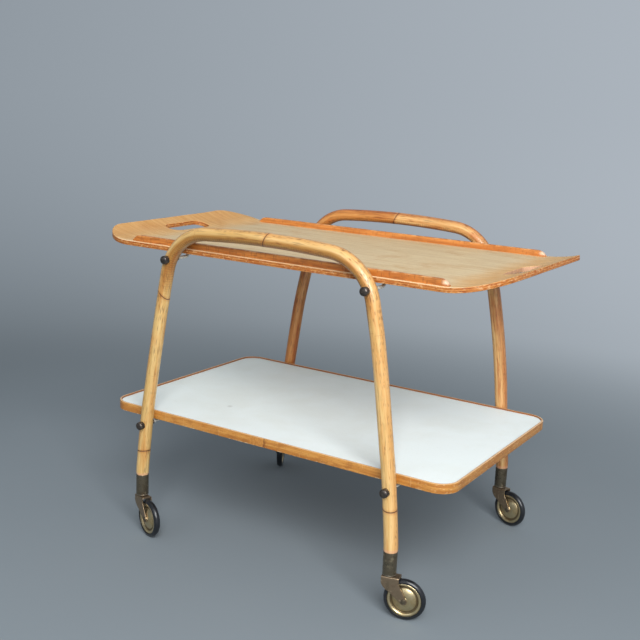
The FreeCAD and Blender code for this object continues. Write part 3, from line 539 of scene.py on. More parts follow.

# %% [markdown]
# ### The cane's skin
#
# Varnished rattan is straw yellow with long fibres. Where it was bent, the outside has stretched into small
# brown cracks and the inside has creased into fine cross lines, and old varnish has gone orange in patches.
# Two tones are painted light, not the cane's own. Orange all along the outer side is painted shade for the
# darker look of varnish at the cane's edge. On the front hoop, the underside of the arch and its bends is
# painted darker as shade. All of this has to follow the bends, so the finish reads the coordinates stored
# before bending: the length along the cane, and how far out or to the front a point lies. A thin clear coat
# gives the shine.

# %% Cane finish
def cane_finish(name, straw, honey, rind, brown, orange_share, shade, left_tone):
    look = Finish(name, bent=True, Specular_IOR_Level=0.45, Coat_Roughness=0.18)
    length, outward, _ = look.axes()
    threads, streaks, _ = look.shared(fibres, 900.0, 0.035, 0.004)
    patches = look.mask(look.noise(9, 60, 60, 3, 0.6), 0.46, 0.62)
    outer = look.mask(outward, 0.004, 0.0131)
    from_crest = look.sum_of("ABSOLUTE", length)
    bent = look.mask(from_crest, 0.34, 0.24)
    look.first(look.mask(streaks, 0.36, 0.64), straw, honey)
    look.stain(look.mask(threads, 0.45, 0.75), rind)
    # Orange in patches is old varnish. Orange all along the outer side is painted shade, for the darker
    # orange that varnish shows where the cane is seen edge-on.
    look.stain(look.most(patches, outer), brown, orange_share)
    # Painted shade: on the front hoop the underside of the arch and its bends is painted darker.
    look.stain(look.times(look.mask(outward, 0.007, -0.003), bent), (204, 178, 138), shade)
    look.stain(look.mask(length, -0.003, -0.009), left_tone)

    cracks, long_cracks = look.marks(95.0, 640.0, 0.42), look.marks(24.0, 760.0, 0.26, 7.3)
    deep_cracks, ticks = look.marks(46.0, 520.0, 0.46, 12.7), look.marks(420.0, 150.0, 0.5, 2.1)
    waves = look.put("TexWave", {"Vector": look.place, "Scale": 62.0, "Distortion": 3.0, "Detail": 2.0,
                                 "Detail Scale": 60.0}).outputs[1]
    creases = look.times(look.times(look.most(look.mask(waves, 0.8, 1.0), ticks),
                                    look.mask(outward, 0.0, -0.009)), bent)
    fine = look.most(look.times(cracks, look.most(outer, patches)), look.times(long_cracks, 0.8))
    worn_side = look.most(outer, look.mask(look.noise(7, 50, 50), 0.42, 0.6))
    worn_leg = look.span(look.mask(length, -0.2, 0.0), 0.85, 0.3)
    deep = look.times(deep_cracks, look.times(worn_side, look.most(bent, worn_leg)))
    fine = look.times(fine, look.span(bent, 0.7, 1.0))
    marks = look.most(look.most(fine, deep), look.times(creases, 0.7))
    look.coat(marks, (92, 52, 26), 0.82)

    joint = look.sum_of("ABSOLUTE", look.put("Attribute", attribute_name="joint").outputs["Fac"])
    foot = (HALF_HOOP - FOOT_Z + SPIGOT_Z) * MM
    look.stain(look.mask(joint, 0.007, 0.001), (214, 150, 84), 0.35)
    look.coat(look.mask(joint, 0.0016, 0.0005), (74, 42, 22), 0.9)
    look.coat(look.mask(from_crest, foot - 0.006, foot - 0.003), (222, 160, 130), 0.5)
    return look.done(look.minus(look.times(threads, 0.5), marks), 0.35,
                     Roughness=look.span(streaks, 0.3, 0.5), Coat_Weight=look.span(marks, 0.5, 0.1))


straw_cane = cane_finish("straw cane", (227, 192, 131), (213, 172, 107), (242, 222, 184),
                         (234, 178, 116), 0.4, 1.0, (248, 250, 246))
amber_cane = cane_finish("amber cane", (232, 190, 128), (206, 154, 92), (234, 204, 158),
                         (206, 140, 80), 0.65, 0.0, (232, 202, 168))

# %% Bend the two hoops
for which, y, seed, joints, wander, cane in (
        ("front", -HOOP_Y, 3.0, front_joints, front_wander, straw_cane),
        ("back", HOOP_Y, 11.0, back_joints, back_wander, amber_cane)):
    shape, laid, near = cane_shape(y, joints, seed, wander)
    piece(f"cane_{which}", shape, cane, "frame", [f"{which}_hoop"], laid, {"joint": near})

# %% [markdown]
# ## Cross rods, cap nuts and inner nuts
#
# Four steel rods, painted cream, tie the hoops together. Near each hoop a rod cranks
# down by a few millimetres, passes through the cane, and is pinched between a small
# six-sided nut inside and a domed bronze cap outside. The rods are a circle carried
# along a path with rounded bends. The nuts and caps are turned.

# %% Bend and paint the rods
SIDES = (("left", -1), ("right", 1))
ROD, ROD_TIP, CRANK, CRANK_R, CRANK_Y = 3.0, 273.8, 6.2, 12.0, 212.3
crank_turn = acos(1 - CRANK / (2 * CRANK_R))
rod_places = {level: (along_hoop(hoop_length_at(z, 1))[0].x, z)
              for level, z in (("upper", 573.0), ("lower", 232.3))}
print("rods at", {level: (round(x, 1), z) for level, (x, z) in rod_places.items()})


def rod_path(x, z):
    """From the front tip to the back tip, in the plane across the trolley."""
    half = [(y, z) for y in (ROD_TIP, 262, 250, 238, 226)]
    turns = [crank_turn * k / 6 for k in range(7)]
    half += [(CRANK_Y - CRANK_R * sin(t), z + CRANK_R * (1 - cos(t))) for t in turns]
    end = CRANK_Y - 2 * CRANK_R * sin(crank_turn)
    for t in (crank_turn * (1 - k / 6) for k in range(1, 7)):
        half.append((end + CRANK_R * sin(t), z + CRANK - CRANK_R * (1 - cos(t))))
    half += [(y, z + CRANK) for y in (175, 150, 110, 70, 30)]
    return [Vector((x, -y, up)) for y, up in half] + [Vector((x, y, up)) for y, up in reversed(half)]


look = Finish("cream enamel", Specular_IOR_Level=0.5, Coat_Weight=0.3, Coat_Roughness=0.12)
blotches, specks, _ = look.shared(age, 45.0, 700.0)
look.first(look.mask(blotches, 0.4, 0.7), (236, 232, 220), (214, 206, 188))
look.coat(specks, (120, 96, 70), 0.6)
enamel = look.done(blotches, 0.12, 0.0005, Roughness=look.span(blotches, 0.3, 0.5))
for level, (x, z) in rod_places.items():
    for side, sign in SIDES:
        around = [2 * pi * k / 24 for k in range(24)]
        circle = [(ROD * cos(t), ROD * sin(t)) for t in around]
        shape, _ = swept(rod_path(sign * x, z), Vector((1, 0, 0)), circle)
        piece(f"cross_rod_{level}_{side}", shape, enamel, "frame", [f"rod_{level}_{side}"])

# %% [markdown]
# ### Bronze, dark and bright
#
# The metal is old brass and bronze: the caps have gone nearly black, the forks are a satin brown, and the
# ferrules are blotched. One function makes them all from three colours, because real parts like these come
# from one batch and only age differently.

# %% Old bronze finish
def bronze_finish(name, base, dark, bright, roughness, patch=90.0, metallic=0.9):
    look = Finish(name, Specular_IOR_Level=0.5)
    blotches, specks, _ = look.shared(age, patch, 900.0)
    look.first(look.mask(blotches, 0.42, 0.66), base, dark)
    look.coat(look.mask(look.cloud(look.place, patch * 3, 3), 0.56, 0.74), bright)
    look.coat(specks, dark, 0.5)
    return look.done(blotches, 0.25, 0.0003,
                     Roughness=look.span(blotches, roughness - 0.08, roughness + 0.16, 0.3, 0.7),
                     Metallic=look.span(blotches, metallic, metallic - 0.35, 0.35, 0.75))


cap_metal = bronze_finish("cap bronze", (92, 84, 78), (58, 54, 52), (130, 118, 102), 0.32)
ferrule_metal = bronze_finish("ferrule bronze", (120, 110, 92), (88, 78, 62), (150, 138, 114), 0.3,
                              patch=45.0, metallic=0.95)
fork_metal = bronze_finish("fork bronze", (150, 130, 106), (118, 100, 80), (182, 162, 134), 0.34,
                           patch=50.0, metallic=0.95)
flange_metal = bronze_finish("flange bronze", (150, 140, 124), (110, 100, 86), (186, 178, 164), 0.36,
                             patch=70.0)
nut_metal = bronze_finish("nut steel", (120, 112, 100), (70, 62, 54), (170, 160, 146), 0.4)

# %% Turn the caps and nuts
ACROSS = Matrix.Rotation(radians(-90), 4, "X")      # a turned part's axis laid along +Y
CAP_Y, NUT_Y = 266.3, 235.3    # where each stands on its rod
CAP_R, NUT_R = 7.9, 5.75


def facing(x, y, z, sign):
    """A turned part whose +Z points away from the middle, along sign * Y."""
    return Matrix.Translation((x, y, z)) @ (ACROSS if sign > 0 else Matrix.Rotation(pi, 4, "Z") @ ACROSS)


dome = [(CAP_R * cos(t) * 0.999, 8.4 + 3.6 * sin(t)) for t in quarter(10)[1:-1]]
cap = turned(eased([(0, 0), (7.2, 0), (CAP_R, 0.8), (CAP_R, 8.2)], 0.4) + dome + [(0, 12)], 56)
nut_profile = [(0, 0), (4.9, 0), (NUT_R, 0.8), (NUT_R, 4.2), (4.9, 5), (0, 5)]
nut = turned(nut_profile, 60, flats=(NUT_R, 6))
for level, (x, z) in rod_places.items():
    for side, sign in SIDES:
        for end, out in (("front", -1), ("back", 1)):
            piece(f"cap_nut_{level}_{end}_{side}", placed(cap, facing(sign * x, out * CAP_Y, z, out)),
                  cap_metal, "frame", [f"cap_{level}_{end}_{side}"])
        pair = together(*(placed(nut, facing(sign * x, out * NUT_Y, z, out)) for out in (-1, 1)))
        piece(f"inner_nuts_{level}_{side}", pair, nut_metal, "frame", [f"nuts_{level}_{side}"])

# %% [markdown]
# ## The shelf
#
# The lower shelf is a board with a white laminate sheet on top and a solid beech strip
# bent round its edge, glued with one butt joint at the front. Board and laminate are
# rounded rectangles stacked in rows, with one extra row just inside each flat face so
# that the flat stays flat when the edge is shaded smooth. The strip is a small section
# carried round the same outline, so that its grain can run round the corners with it.

# %% Rounded outlines and slabs
SHELF_X, SHELF_Y, SHELF_R, STRIP = 382.0, 240.0, 38.0, 4.0
SHELF_LOW, SHELF_TOP, STRIP_TOP = 241.5, 256.4, 259.4


def round_outline(half_x, half_y, corner, bits=14):
    """Points round a rounded rectangle, starting at the middle of the front side."""
    ring = [Vector((0, -half_y, 0))]
    for cx, cy, start in ((1, -1, -90), (1, 1, 0), (-1, 1, 90), (-1, -1, 180)):
        for t in (radians(start + 90 * k / bits) for k in range(bits + 1)):
            ring.append(Vector((cx * (half_x - corner) + corner * cos(t),
                                cy * (half_y - corner) + corner * sin(t), 0)))
    return ring


def slab(rows):
    """What fills the strip, in rows of (inset, z) from the bottom face to the top face."""
    rings = []
    for inset, z in rows:
        sizes = (size - STRIP - inset for size in (SHELF_X, SHELF_Y, SHELF_R))
        rings.append([(p.x, p.y, z) for p in round_outline(*sizes)])
    return sum(rings, []), skin(len(rings), len(rings[0]))

# %% [markdown]
# ### Laminate, board and beech strip
#
# The laminate is almost white, a little cool, with the faintest cloud of wear and one
# small grey mark. It is smoother than paint but not a mirror. The strip is beech under
# orange varnish: short dark pores, pale upright ticks where the bends opened the grain,
# bright rays at the right-hand corners, and pale chips along its lower edge. The board's
# underside is plain brown, because nobody polishes what nobody sees.

# %% Laminate finish and sheet
look = Finish("white laminate", Specular_IOR_Level=0.28)
x, y, _ = look.axes()
blotches, specks, rubs = look.shared(age, 9.0, 260.0)
# Painted shade: the first coat is a touch darker towards the back left, where the tray shades the laminate.
painted_shade_back_left = look.plus(look.times(x, -1.0), look.times(y, 0.7))
look.first(look.mask(painted_shade_back_left, -0.35, 0.5), (242, 252, 252), (236, 246, 244))
look.stain(look.mask(blotches, 0.35, 0.7), (250, 249, 247))
look.coat(specks, (176, 170, 158), 0.10)
look.coat(rubs, (196, 198, 196), 0.10)
grey_mark = look.put("VectorMath", {0: look.place, 1: (-0.1725, -0.1158, 0.2564)}, operation="DISTANCE")
look.coat(look.mask(grey_mark.outputs["Value"], 0.008, 0.002), (150, 150, 146), 0.35)
laminate = look.done(look.cloud(look.place, 220.0), 0.04, Roughness=look.span(blotches, 0.5, 0.64))
rows = [(1.2, SHELF_TOP - 1), (0.0, SHELF_TOP - 1), (0.0, SHELF_TOP - 0.25), (0.1, SHELF_TOP - 0.07),
        (0.3, SHELF_TOP), (1.6, SHELF_TOP)]
piece("laminate_sheet", slab(rows), laminate, "frame", ["shelf_laminate"])

# %% Board under the laminate
look = Finish("shelf board", Specular_IOR_Level=0.3)
threads, streaks, darker = look.shared(fibres, 500.0, 0.06, 0.01)
look.first(look.mask(streaks, 0.35, 0.65), (164, 122, 84), (132, 94, 62))
look.stain(look.mask(darker, 0.4, 0.7), (206, 190, 170))
board_brown = look.done(threads, 0.3, 0.0005, Roughness=look.span(threads, 0.6, 0.8))
rows = [(1.6, SHELF_LOW), (0.4, SHELF_LOW), (0.0, SHELF_LOW + 0.4), (0.0, SHELF_TOP - 1),
        (1.2, SHELF_TOP - 1)]
piece("shelf_board", slab(rows), board_brown, "frame", ["shelf_core"])

# %% Beech strip finish
look = Finish("beech strip", bent=True, Specular_IOR_Level=0.45, Coat_Roughness=0.2)
along, outward, up = look.axes()
threads, streaks, _ = look.shared(fibres, 900.0, 0.03, 0.004)
pores, rays = look.marks(200.0, 1100.0, 0.4), look.marks(160.0, 420.0, 0.3, 4.4)
look.first(look.mask(streaks, 0.38, 0.62), (206, 148, 74), (186, 125, 54))
look.stain(look.mask(threads, 0.4, 0.7), (232, 206, 172))
look.coat(pores, (104, 58, 24), 0.5)
uneven = look.plus(along, look.times(look.noise(40, 0, 0), 0.02))
tick = look.off(look.sum_of("FRACT", look.times(uneven, 22.0)), 0.5)
look.coat(look.times(look.mask(tick, 0.484, 0.494), look.mask(look.cloud(look.place, 60.0), 0.45, 0.6)),
          (232, 196, 140), 0.35)
look.coat(look.mask(look.noise(45, 90, 90, 4, 0.6), 0.52, 0.66), (150, 90, 36), 0.45)
chips = look.times(look.mask(up, -0.0062, -0.0088), look.mask(look.noise(90, 200, 200, 3), 0.55, 0.62))
look.coat(chips, (226, 196, 150), 0.8)
butt = look.off(along, 0.0025)
look.coat(look.times(look.mask(butt, 0.009, 0.001), look.mask(look.noise(300, 200, 200), 0.35, 0.6)),
          (140, 78, 32), 0.6)
look.coat(look.mask(butt, 0.0011, 0.0005), (88, 48, 22), 0.85)
right_end = look.times(look.mask(along, 0.25, 0.42), look.mask(along, 1.15, 0.95))
look.coat(look.times(rays, right_end), (238, 200, 150), 0.55)
# The top edge is painted pale in streaks: partly wear, partly painted highlight where the light catches it.
look.coat(look.times(look.mask(up, 0.0078, 0.0088), look.mask(streaks, 0.3, 0.5)), (240, 208, 164), 0.6)
# Painted shade: the inner face of the strip, which stands above the laminate, is painted darker brown.
look.coat(look.mask(outward, -0.001, -0.0016), (150, 92, 48))
strip_wood = look.done(look.minus(threads, pores), 0.3, Roughness=look.span(streaks, 0.34, 0.5),
                       Coat_Weight=look.span(chips, 0.25, 0.0))

# %% Bend the strip round the shelf
middle_z, half_z, half_t = (SHELF_LOW + STRIP_TOP) / 2, (STRIP_TOP - SHELF_LOW) / 2, STRIP / 2
JOINT_STATIONS, JOINT_DEEP = (1.9, 2.3, 2.7, 3.1), 0.5   # the butt joint, just right of the middle
walk = round_outline(SHELF_X - half_t, SHELF_Y - half_t, SHELF_R - half_t)
strip_path = []
for here, there in zip(walk, walk[1:] + walk[:1]):
    bits = max(1, int((there - here).length / 30))
    strip_path += [here.lerp(there, k / bits) for k in range(bits)]
strip_path[1:1] = [Vector((shift, -(SHELF_Y - half_t), 0)) for shift in JOINT_STATIONS]
for point in strip_path:
    point.z = middle_z
strip_section = eased([(-half_z, -half_t), (half_z, -half_t), (half_z, half_t), (-half_z, half_t)],
                      0.9, closed=True)


def with_joint(section, run):
    """The outer face dips where the strip's two ends meet."""
    deep = JOINT_DEEP if 2.2 <= run <= 2.8 else 0.0
    return [(a, b - deep if b > 1.0 else b) for a, b in section]


shape, laid = swept(strip_path, Vector((0, 0, 1)), strip_section, closed=True, fit=with_joint)
piece("beech_strip", shape, strip_wood, "frame", ["shelf_band"], laid)

# %% [markdown]
# ## The tray board
#
# The tray is one sheet of plywood, 9 mm thick, flat in the middle and curling up at both
# ends, with rounded corners and a hand hole near each end. A boolean cut would leave
# ragged topology at the holes and couldn't remember where each point lay before the
# sheet was bent. So the sheet is a grid whose columns follow the curl, the corner round
# and the hole's outline, and each point stores its place in the flat sheet and its depth,
# which is what lets the finish show the plies on the edge.

# %% The board's outline and curl
FLAT_X, CURL_R, PLY, BOARD_LOW = 336.0, 250.0, 9.0, 584.0
CURL_Z = BOARD_LOW + PLY + CURL_R
BOARD_Y, CORNER_R, CORNER_X, END_X = 238.5, 100.0, 340.0, 434.45
END_LOW_X = FLAT_X + (END_X - FLAT_X) * (CURL_R + PLY) / CURL_R
SQUARE_X = 409.0               # beyond it the underside runs ahead, so that the end is cut square
SOFT_R = 60.0                  # the round between a corner and the end
HOLE_X, HOLE_LONG, HOLE_WIDE, HOLE_R = 387.5, 61.0, 20.5, 20.0
HOLE_ROW = HOLE_LONG - HOLE_R  # where the straight part of the hole's side ends


def board_half(x, inset, end):
    """Half the board's width at x: straight, a corner round, and a smaller round into the end."""
    if x <= CORNER_X:
        return BOARD_Y - inset
    over = end - SOFT_R - CORNER_X
    if x > CORNER_X + CORNER_R * over / (CORNER_R - SOFT_R):
        return (BOARD_Y - CORNER_R + sqrt((CORNER_R - SOFT_R) ** 2 - over ** 2)
                + sqrt(max(0.0, (SOFT_R - inset) ** 2 - (x - CORNER_X - over) ** 2)))
    return BOARD_Y - CORNER_R + sqrt(max(0.0, (CORNER_R - inset) ** 2 - (x - CORNER_X) ** 2))


def board_height(x, radius):
    """The upper face for CURL_R, the lower face for CURL_R + PLY."""
    return CURL_Z - (radius if x <= FLAT_X else sqrt(radius ** 2 - (x - FLAT_X) ** 2))


def soft_step(value, start, end):
    """0 before start, 1 after end and soft between, as `mask` is on the bench."""
    t = min(1.0, max(0.0, (value - start) / (end - start)))
    return t * t * (3 - 2 * t)

# %% Columns and rows of the board
half_columns = [("x", FLAT_X * k / 14) for k in range(1, 15)]
half_columns += [("x", x) for x in (338, 343, 348, 353, 358, 363)]
half_columns += [("hole", start - 90 * k / 8) for start in (180, 90) for k in range(9)]
half_columns += [("x", CORNER_X + CORNER_R * sin(radians(43.8 + 2.0 * k))) for k in range(13)]
half_columns += [("x", x) for x in (433.4, 434.0, 434.3)] + [("end", END_X)]
columns = [(-1, c) for c in reversed(half_columns)] + [(1, ("x", 0.0))] + [(1, c) for c in half_columns]
NEAR, MIDDLE, FAR = 9, 7, 9    # quads across the near, the middle and the far strip
WARP_TILT, WARP_CORNER = 3.4, 3.2


def board_place(i, k, inset, depth):
    """Where a grid point lies on the bent board, and where it lay on the flat sheet."""
    side, (kind, value) = columns[i]
    across = HOLE_ROW
    if kind == "hole":
        turn, reach = radians(value), HOLE_R + inset
        x = HOLE_X + (HOLE_WIDE - HOLE_R) * (1 if cos(turn) > 1e-9 else -1) + reach * cos(turn)
        across += reach * sin(turn)
    else:
        x = value - (inset if kind == "end" else 0)
    low_x = x if x <= SQUARE_X else x + (END_LOW_X - END_X) * (x - SQUARE_X) / (END_X - SQUARE_X)
    share = depth / PLY
    top, low = board_height(x, CURL_R), board_height(low_x, CURL_R + PLY)
    at_x, z = x + (low_x - x) * share, top + (low - top) * share
    half = board_half(at_x, inset, END_X + (END_LOW_X - END_X) * share)
    if k <= NEAR:
        y = -half + (half - across) * k / NEAR
    elif k <= NEAR + MIDDLE:
        y = -across + 2 * across * (k - NEAR) / MIDDLE
    else:
        y = across + (half - across) * (k - NEAR - MIDDLE) / FAR
    if side < 0:                                        # the left end has warped, and its back corner most
        z += WARP_TILT * soft_step(at_x, FLAT_X, END_X) * y / BOARD_Y
        z += WARP_CORNER * soft_step(at_x, 342, 392) * soft_step(y, 110, 232)
    unrolled = at_x if at_x <= FLAT_X else FLAT_X + CURL_R * asin((at_x - FLAT_X) / (CURL_R + PLY * share))
    return (side * at_x, y, z), (side * unrolled, y, depth)


holes = {(i, k) for i in range(len(columns) - 1) for k in range(NEAR, NEAR + MIDDLE)
         if columns[i][1][0] == "hole" and columns[i + 1][1][0] == "hole"}
board_shape, board_laid = sheet_shape(len(columns), NEAR + MIDDLE + FAR + 1, board_place,
                                      rim_of(PLY, 0.8), holes)
print("board:", len(columns), "columns,", len(board_laid), "points,", len(holes), "quads cut out")

# %% [markdown]
# ### Plywood finish
#
# The face veneer has gone a greenish beige in the middle, where it was used most, and
# stays honey coloured on the curled ends and in the narrow ledges outside the battens.
# The edge shows the plies as bands that alternate with thin dark glue lines. All of it
# is chosen by the stored depth and by the place along the sheet, so it bends with the
# wood. Fine rubbed lines and a few dark specks tell of years of cups and plates.

# %% Plywood finish
look = Finish("tray plywood", bent=True, Specular_IOR_Level=0.26, Coat_Roughness=0.3)
along, across, deep = look.axes()
threads, streaks, _ = look.shared(fibres, 520.0, 0.035, 0.006)
blotches, specks, rubs = look.shared(age, 12.0, 420.0)
pores, off_middle = look.marks(120.0, 1300.0, 0.3), look.sum_of("ABSOLUTE", across)
veneers = (((223, 202, 163), (211, 186, 144)), ((226, 184, 126), (214, 168, 108)),
           ((176, 122, 72), (146, 94, 52)))
grain = look.mask(streaks, 0.35, 0.65)
beige, honey, under = (look.mixed(grain, paint(*light), paint(*dark)) for light, dark in veneers)
ledge = look.mask(off_middle, 0.2295, 0.2315)
curled = look.mask(look.plus(look.sum_of("ABSOLUTE", along), look.times(blotches, 0.05)), 0.33, 0.40)
look.colour = look.mixed(look.most(curled, ledge), beige, honey)
look.stain(look.mask(along, -0.36, -0.40), (246, 234, 218))
look.coat(ledge, (238, 210, 168))
look.stain(look.mask(threads, 0.45, 0.75), (240, 226, 204))
look.coat(pores, (140, 96, 54), 0.35)
look.stain(look.mask(blotches, 0.5, 0.72), (224, 192, 160), 0.35)
look.coat(rubs, (238, 214, 190), 0.4)
look.coat(specks, (110, 78, 50), 0.25)
face = look.colour

# %% The plies along its edge
glue, orange_ply, pale_ply = paint(104, 58, 28), paint(182, 112, 52), paint(204, 138, 74)
wobble = look.times(look.minus(look.noise(18, 18, 0), 0.5), 0.0006)
plies = look.put("ValToRGB", {0: look.times(look.plus(deep, wobble), 1 / 0.009)})
layers = [(0.0, pale_ply), (0.13, pale_ply), (0.15, glue), (0.17, orange_ply), (0.34, orange_ply),
          (0.36, glue), (0.38, pale_ply), (0.57, pale_ply), (0.59, glue), (0.61, orange_ply),
          (0.79, orange_ply), (0.81, glue), (0.83, pale_ply), (1.0, pale_ply)]
for at, _ in layers[2:]:
    plies.color_ramp.elements.new(at)
for stop, (at, tone) in zip(plies.color_ramp.elements, layers):
    stop.position, stop.color = at, tone
look.colour = plies.outputs[0]
look.stain(look.mask(look.noise(60, 60, 700, 3), 0.4, 0.7), (214, 170, 128))
look.coat(look.mask(look.noise(130, 130, 200, 4, 0.65), 0.54, 0.62), (236, 196, 148), 0.38)
look.coat(look.mask(look.noise(170, 170, 260, 4, 0.65), 0.44, 0.36), (120, 66, 34), 0.6)
# Painted highlight: the cut edge round the right-hand hole is painted pale where it catches the light.
hole_edge_highlight = look.times(look.mask(along, 0.36, 0.37), look.times(look.mask(along, 0.424, 0.418),
                                                             look.mask(off_middle, 0.075, 0.064)))
look.coat(hole_edge_highlight, (214, 178, 150), 0.6)
look.colour = look.mixed(look.mask(deep, 0.0002, 0.0005), face, look.colour)
look.colour = look.mixed(look.mask(deep, 0.0085, 0.0088), look.colour, under)
plywood = look.done(look.minus(threads, pores), 0.22, Roughness=look.span(blotches, 0.46, 0.64, 0.3, 0.7),
                    Coat_Weight=look.span(blotches, 0.1, 0.0))
piece("plywood_tray", board_shape, plywood, "tray", ["tray_board"], board_laid)

# %% [markdown]
# ## Battens on the tray
#
# A low batten stands along each long side of the tray and dies away in a quarter round at its ends. It is a
# rectangle with eased top corners whose height changes along its length, and whose underside follows the
# curl of the board. The near batten is a darker, mottled red brown, partly its own tone and partly painted
# shade for the front hoop's shadow, and the far one is a lighter orange, so each gets its own tone from one
# shared recipe.

# %% Batten shape
BATTEN_Y, BATTEN_WIDE, BATTEN_HIGH, BATTEN_SOFT, TIP, END_ROUND = 226.0, 10.0, 12.0, 2.5, 2.0, 20.0


def batten_shape(y, start, end):
    """A batten from start to end along X, on top of the board."""
    reach = sqrt(END_ROUND ** 2 - (END_ROUND + TIP - BATTEN_HIGH) ** 2)
    near_end = [reach * (1 - cos(t)) for t in quarter(10)]
    stations = [start + d for d in near_end]
    stations += [start + reach + (end - start - 2 * reach) * k / 24 for k in range(1, 24)]
    stations += [end - d for d in reversed(near_end)]
    points, laid = [], []
    for x in stations:
        d = min(x - start, end - x)
        high = BATTEN_HIGH
        if d < reach:
            high += sqrt(END_ROUND ** 2 - (reach - d) ** 2) - END_ROUND
        low = board_height(abs(x), CURL_R) - 0.1
        top = max(BOARD_LOW + PLY + high, low + 0.6)
        soft = min(BATTEN_SOFT, (top - low) * 0.6)
        half = BATTEN_WIDE / 2
        section = [(-half, low)] + [(-half + soft * (1 - cos(t)), top - soft + soft * sin(t))
                                    for t in quarter(4)]
        section += [(-a, z) for a, z in reversed(section)]
        points += [(x, y + a, z) for a, z in section]
        laid += [(x, a, z - BOARD_LOW - PLY) for a, z in section]
    return (points, skin(len(stations), len(section))), laid

# %% Batten finish
def batten_finish(name, light, mid, dark, mottle):
    look = Finish(name, bent=True, Specular_IOR_Level=0.4, Coat_Roughness=0.22)
    along, _, up = look.axes()
    threads, streaks, _ = look.shared(fibres, 800.0, 0.04, 0.003)
    blotches, _, _ = look.shared(age, 60.0, 500.0)
    upright = look.marks(260.0, 60.0, 0.55)
    look.first(look.mask(streaks, 0.36, 0.64), light, mid)
    look.coat(look.mask(look.noise(26, 160, 160, 4, 0.65), 0.46, 0.66), dark, mottle)
    look.coat(upright, dark, 0.42)
    # Painted highlight: the top of the batten is painted pale in patches, where it catches the light.
    top_highlight = look.times(look.mask(up, 0.0095, 0.012), look.mask(blotches, 0.45, 0.6))
    look.coat(top_highlight, (236, 190, 136), 0.5)
    # The upper part of the right-hand tip is painted pale, with a ragged edge.
    ragged_along = look.plus(along, look.times(blotches, 0.012))
    pale_tip = look.times(look.mask(ragged_along, 0.340, 0.349), look.mask(up, 0.001, 0.006))
    look.coat(pale_tip, (240, 206, 176), 0.85)
    return look.done(look.minus(threads, upright), 0.3, Roughness=look.span(blotches, 0.34, 0.54),
                     Coat_Weight=look.span(upright, 0.25, 0.05))


# The near batten's darker, more mottled tones are partly its own and partly painted shade for the front
# hoop's shadow.
near_wood = batten_finish("near batten", (200, 126, 56), (176, 102, 40), (108, 58, 24), 0.5)
far_wood = batten_finish("far batten", (212, 136, 66), (188, 112, 48), (154, 86, 38), 0.4)
for which, y, start, end, wood in (("front", -BATTEN_Y, -334.5, 347.5, near_wood),
                                   ("back", BATTEN_Y, -353.5, 348.5, far_wood)):
    shape, laid = batten_shape(y, start, end)
    piece(f"side_batten_{which}", shape, wood, "tray", [f"tray_batten_{which}"], laid)

# %% [markdown]
# ## Rubber sleeves and screws
#
# Short rubber sleeves on the upper rods stop the tray from rattling. They are turned
# tubes. The tray's screws, and the clips and screws under the shelf, already have their
# true shape in the frame, so they only need a finish.

# %% Sleeves, screws and clips
look = Finish("old rubber", Specular_IOR_Level=0.4)
blotches, _, _ = look.shared(age, 120.0, 1500.0)
look.first(look.mask(blotches, 0.4, 0.7), (58, 54, 50), (84, 78, 70))
rubber = look.done(blotches, 0.3, 0.0003, Roughness=look.span(blotches, 0.6, 0.85))
SLEEVE_Y = 150                 # distance of each sleeve from the middle
sleeve = turned(eased([(ROD, -12), (4.5, -12), (4.5, 12), (ROD, 12)], 0.5, closed=True), 40, closed=True)
upper_x, upper_z = rod_places["upper"]
for side, sign in SIDES:
    pair = together(*(placed(sleeve, facing(sign * upper_x, y, upper_z + CRANK, 1))
                      for y in (-SLEEVE_Y, SLEEVE_Y)))
    piece(f"rubber_sleeves_{side}", pair, rubber, "frame", [f"tray_sleeves_{side}"])

screw_steel = bronze_finish("screw steel", (168, 160, 148), (112, 98, 82), (206, 200, 190), 0.34)
clip_steel = bronze_finish("clip steel", (150, 146, 138), (104, 92, 78), (190, 186, 178), 0.4)
for name in ("tray_screws_front", "tray_screws_back", "shelf_screws_left", "shelf_screws_right",
             "shelf_clips_left", "shelf_clips_right"):
    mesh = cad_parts[name].data
    mesh.materials.clear()
    mesh.materials.append(clip_steel if "clips" in name else screw_steel)
    print(name, "keeps its frame mesh,", len(mesh.polygons), "faces")

# %% [markdown]
# ## Casters
#
# Each leg ends in a blotched bronze ferrule, and under it a swivel: a socket with a
# flange, a stem with its collar, a fork folded from 2 mm sheet, and a pressed wheel with
# a black tyre on a domed axle. Every caster is made once about its own swivel axis and
# then placed four times, each turned its own way, as casters stand when a trolley has
# been rolled and left. The fork is a sheet, and the rest is turned work.

# %% Turned caster parts
AXLE_X, AXLE_Z = 30.0, 38.0    # from the swivel axis, and from the floor
EASE = 0.35


def mirrored(half):
    """The other side of a wheel's or axle's profile."""
    return [(r, -h) for r, h in half]


ferrule_profile = [(11.55, 82.0), (12.5, 82.0), (12.5, 122.7), (12.2, 124.0), (11.55, 124.0)]
ferrule = turned(eased(ferrule_profile, EASE, closed=True), 64, closed=True)
socket_profile = [(4.05, 80.5), (12.5, 80.5), (12.5, 82.0), (6.0, 82.0), (6.0, 112.0), (4.05, 112.0)]
socket = turned(eased(socket_profile, EASE, closed=True), 56, closed=True)
stem_profile = [(0, 75), (6.5, 75), (6.5, 77), (4, 77), (4, 79), (9.5, 79), (9.5, 80.2), (4, 80.2),
                (4, 108), (0, 108)]
stem = turned(eased(stem_profile, 0.3), 48)
axle_half = [(3.0, 0), (3.0, 10.7), (4.75, 10.7), (4.75, 11.2)] + [
    (4.75 * cos(t), 11.2 + 1.5 * sin(t)) for t in quarter(6)[1:-1]] + [(0, 12.7)]
axle = turned(mirrored(axle_half[::-1]) + axle_half[1:], 40)

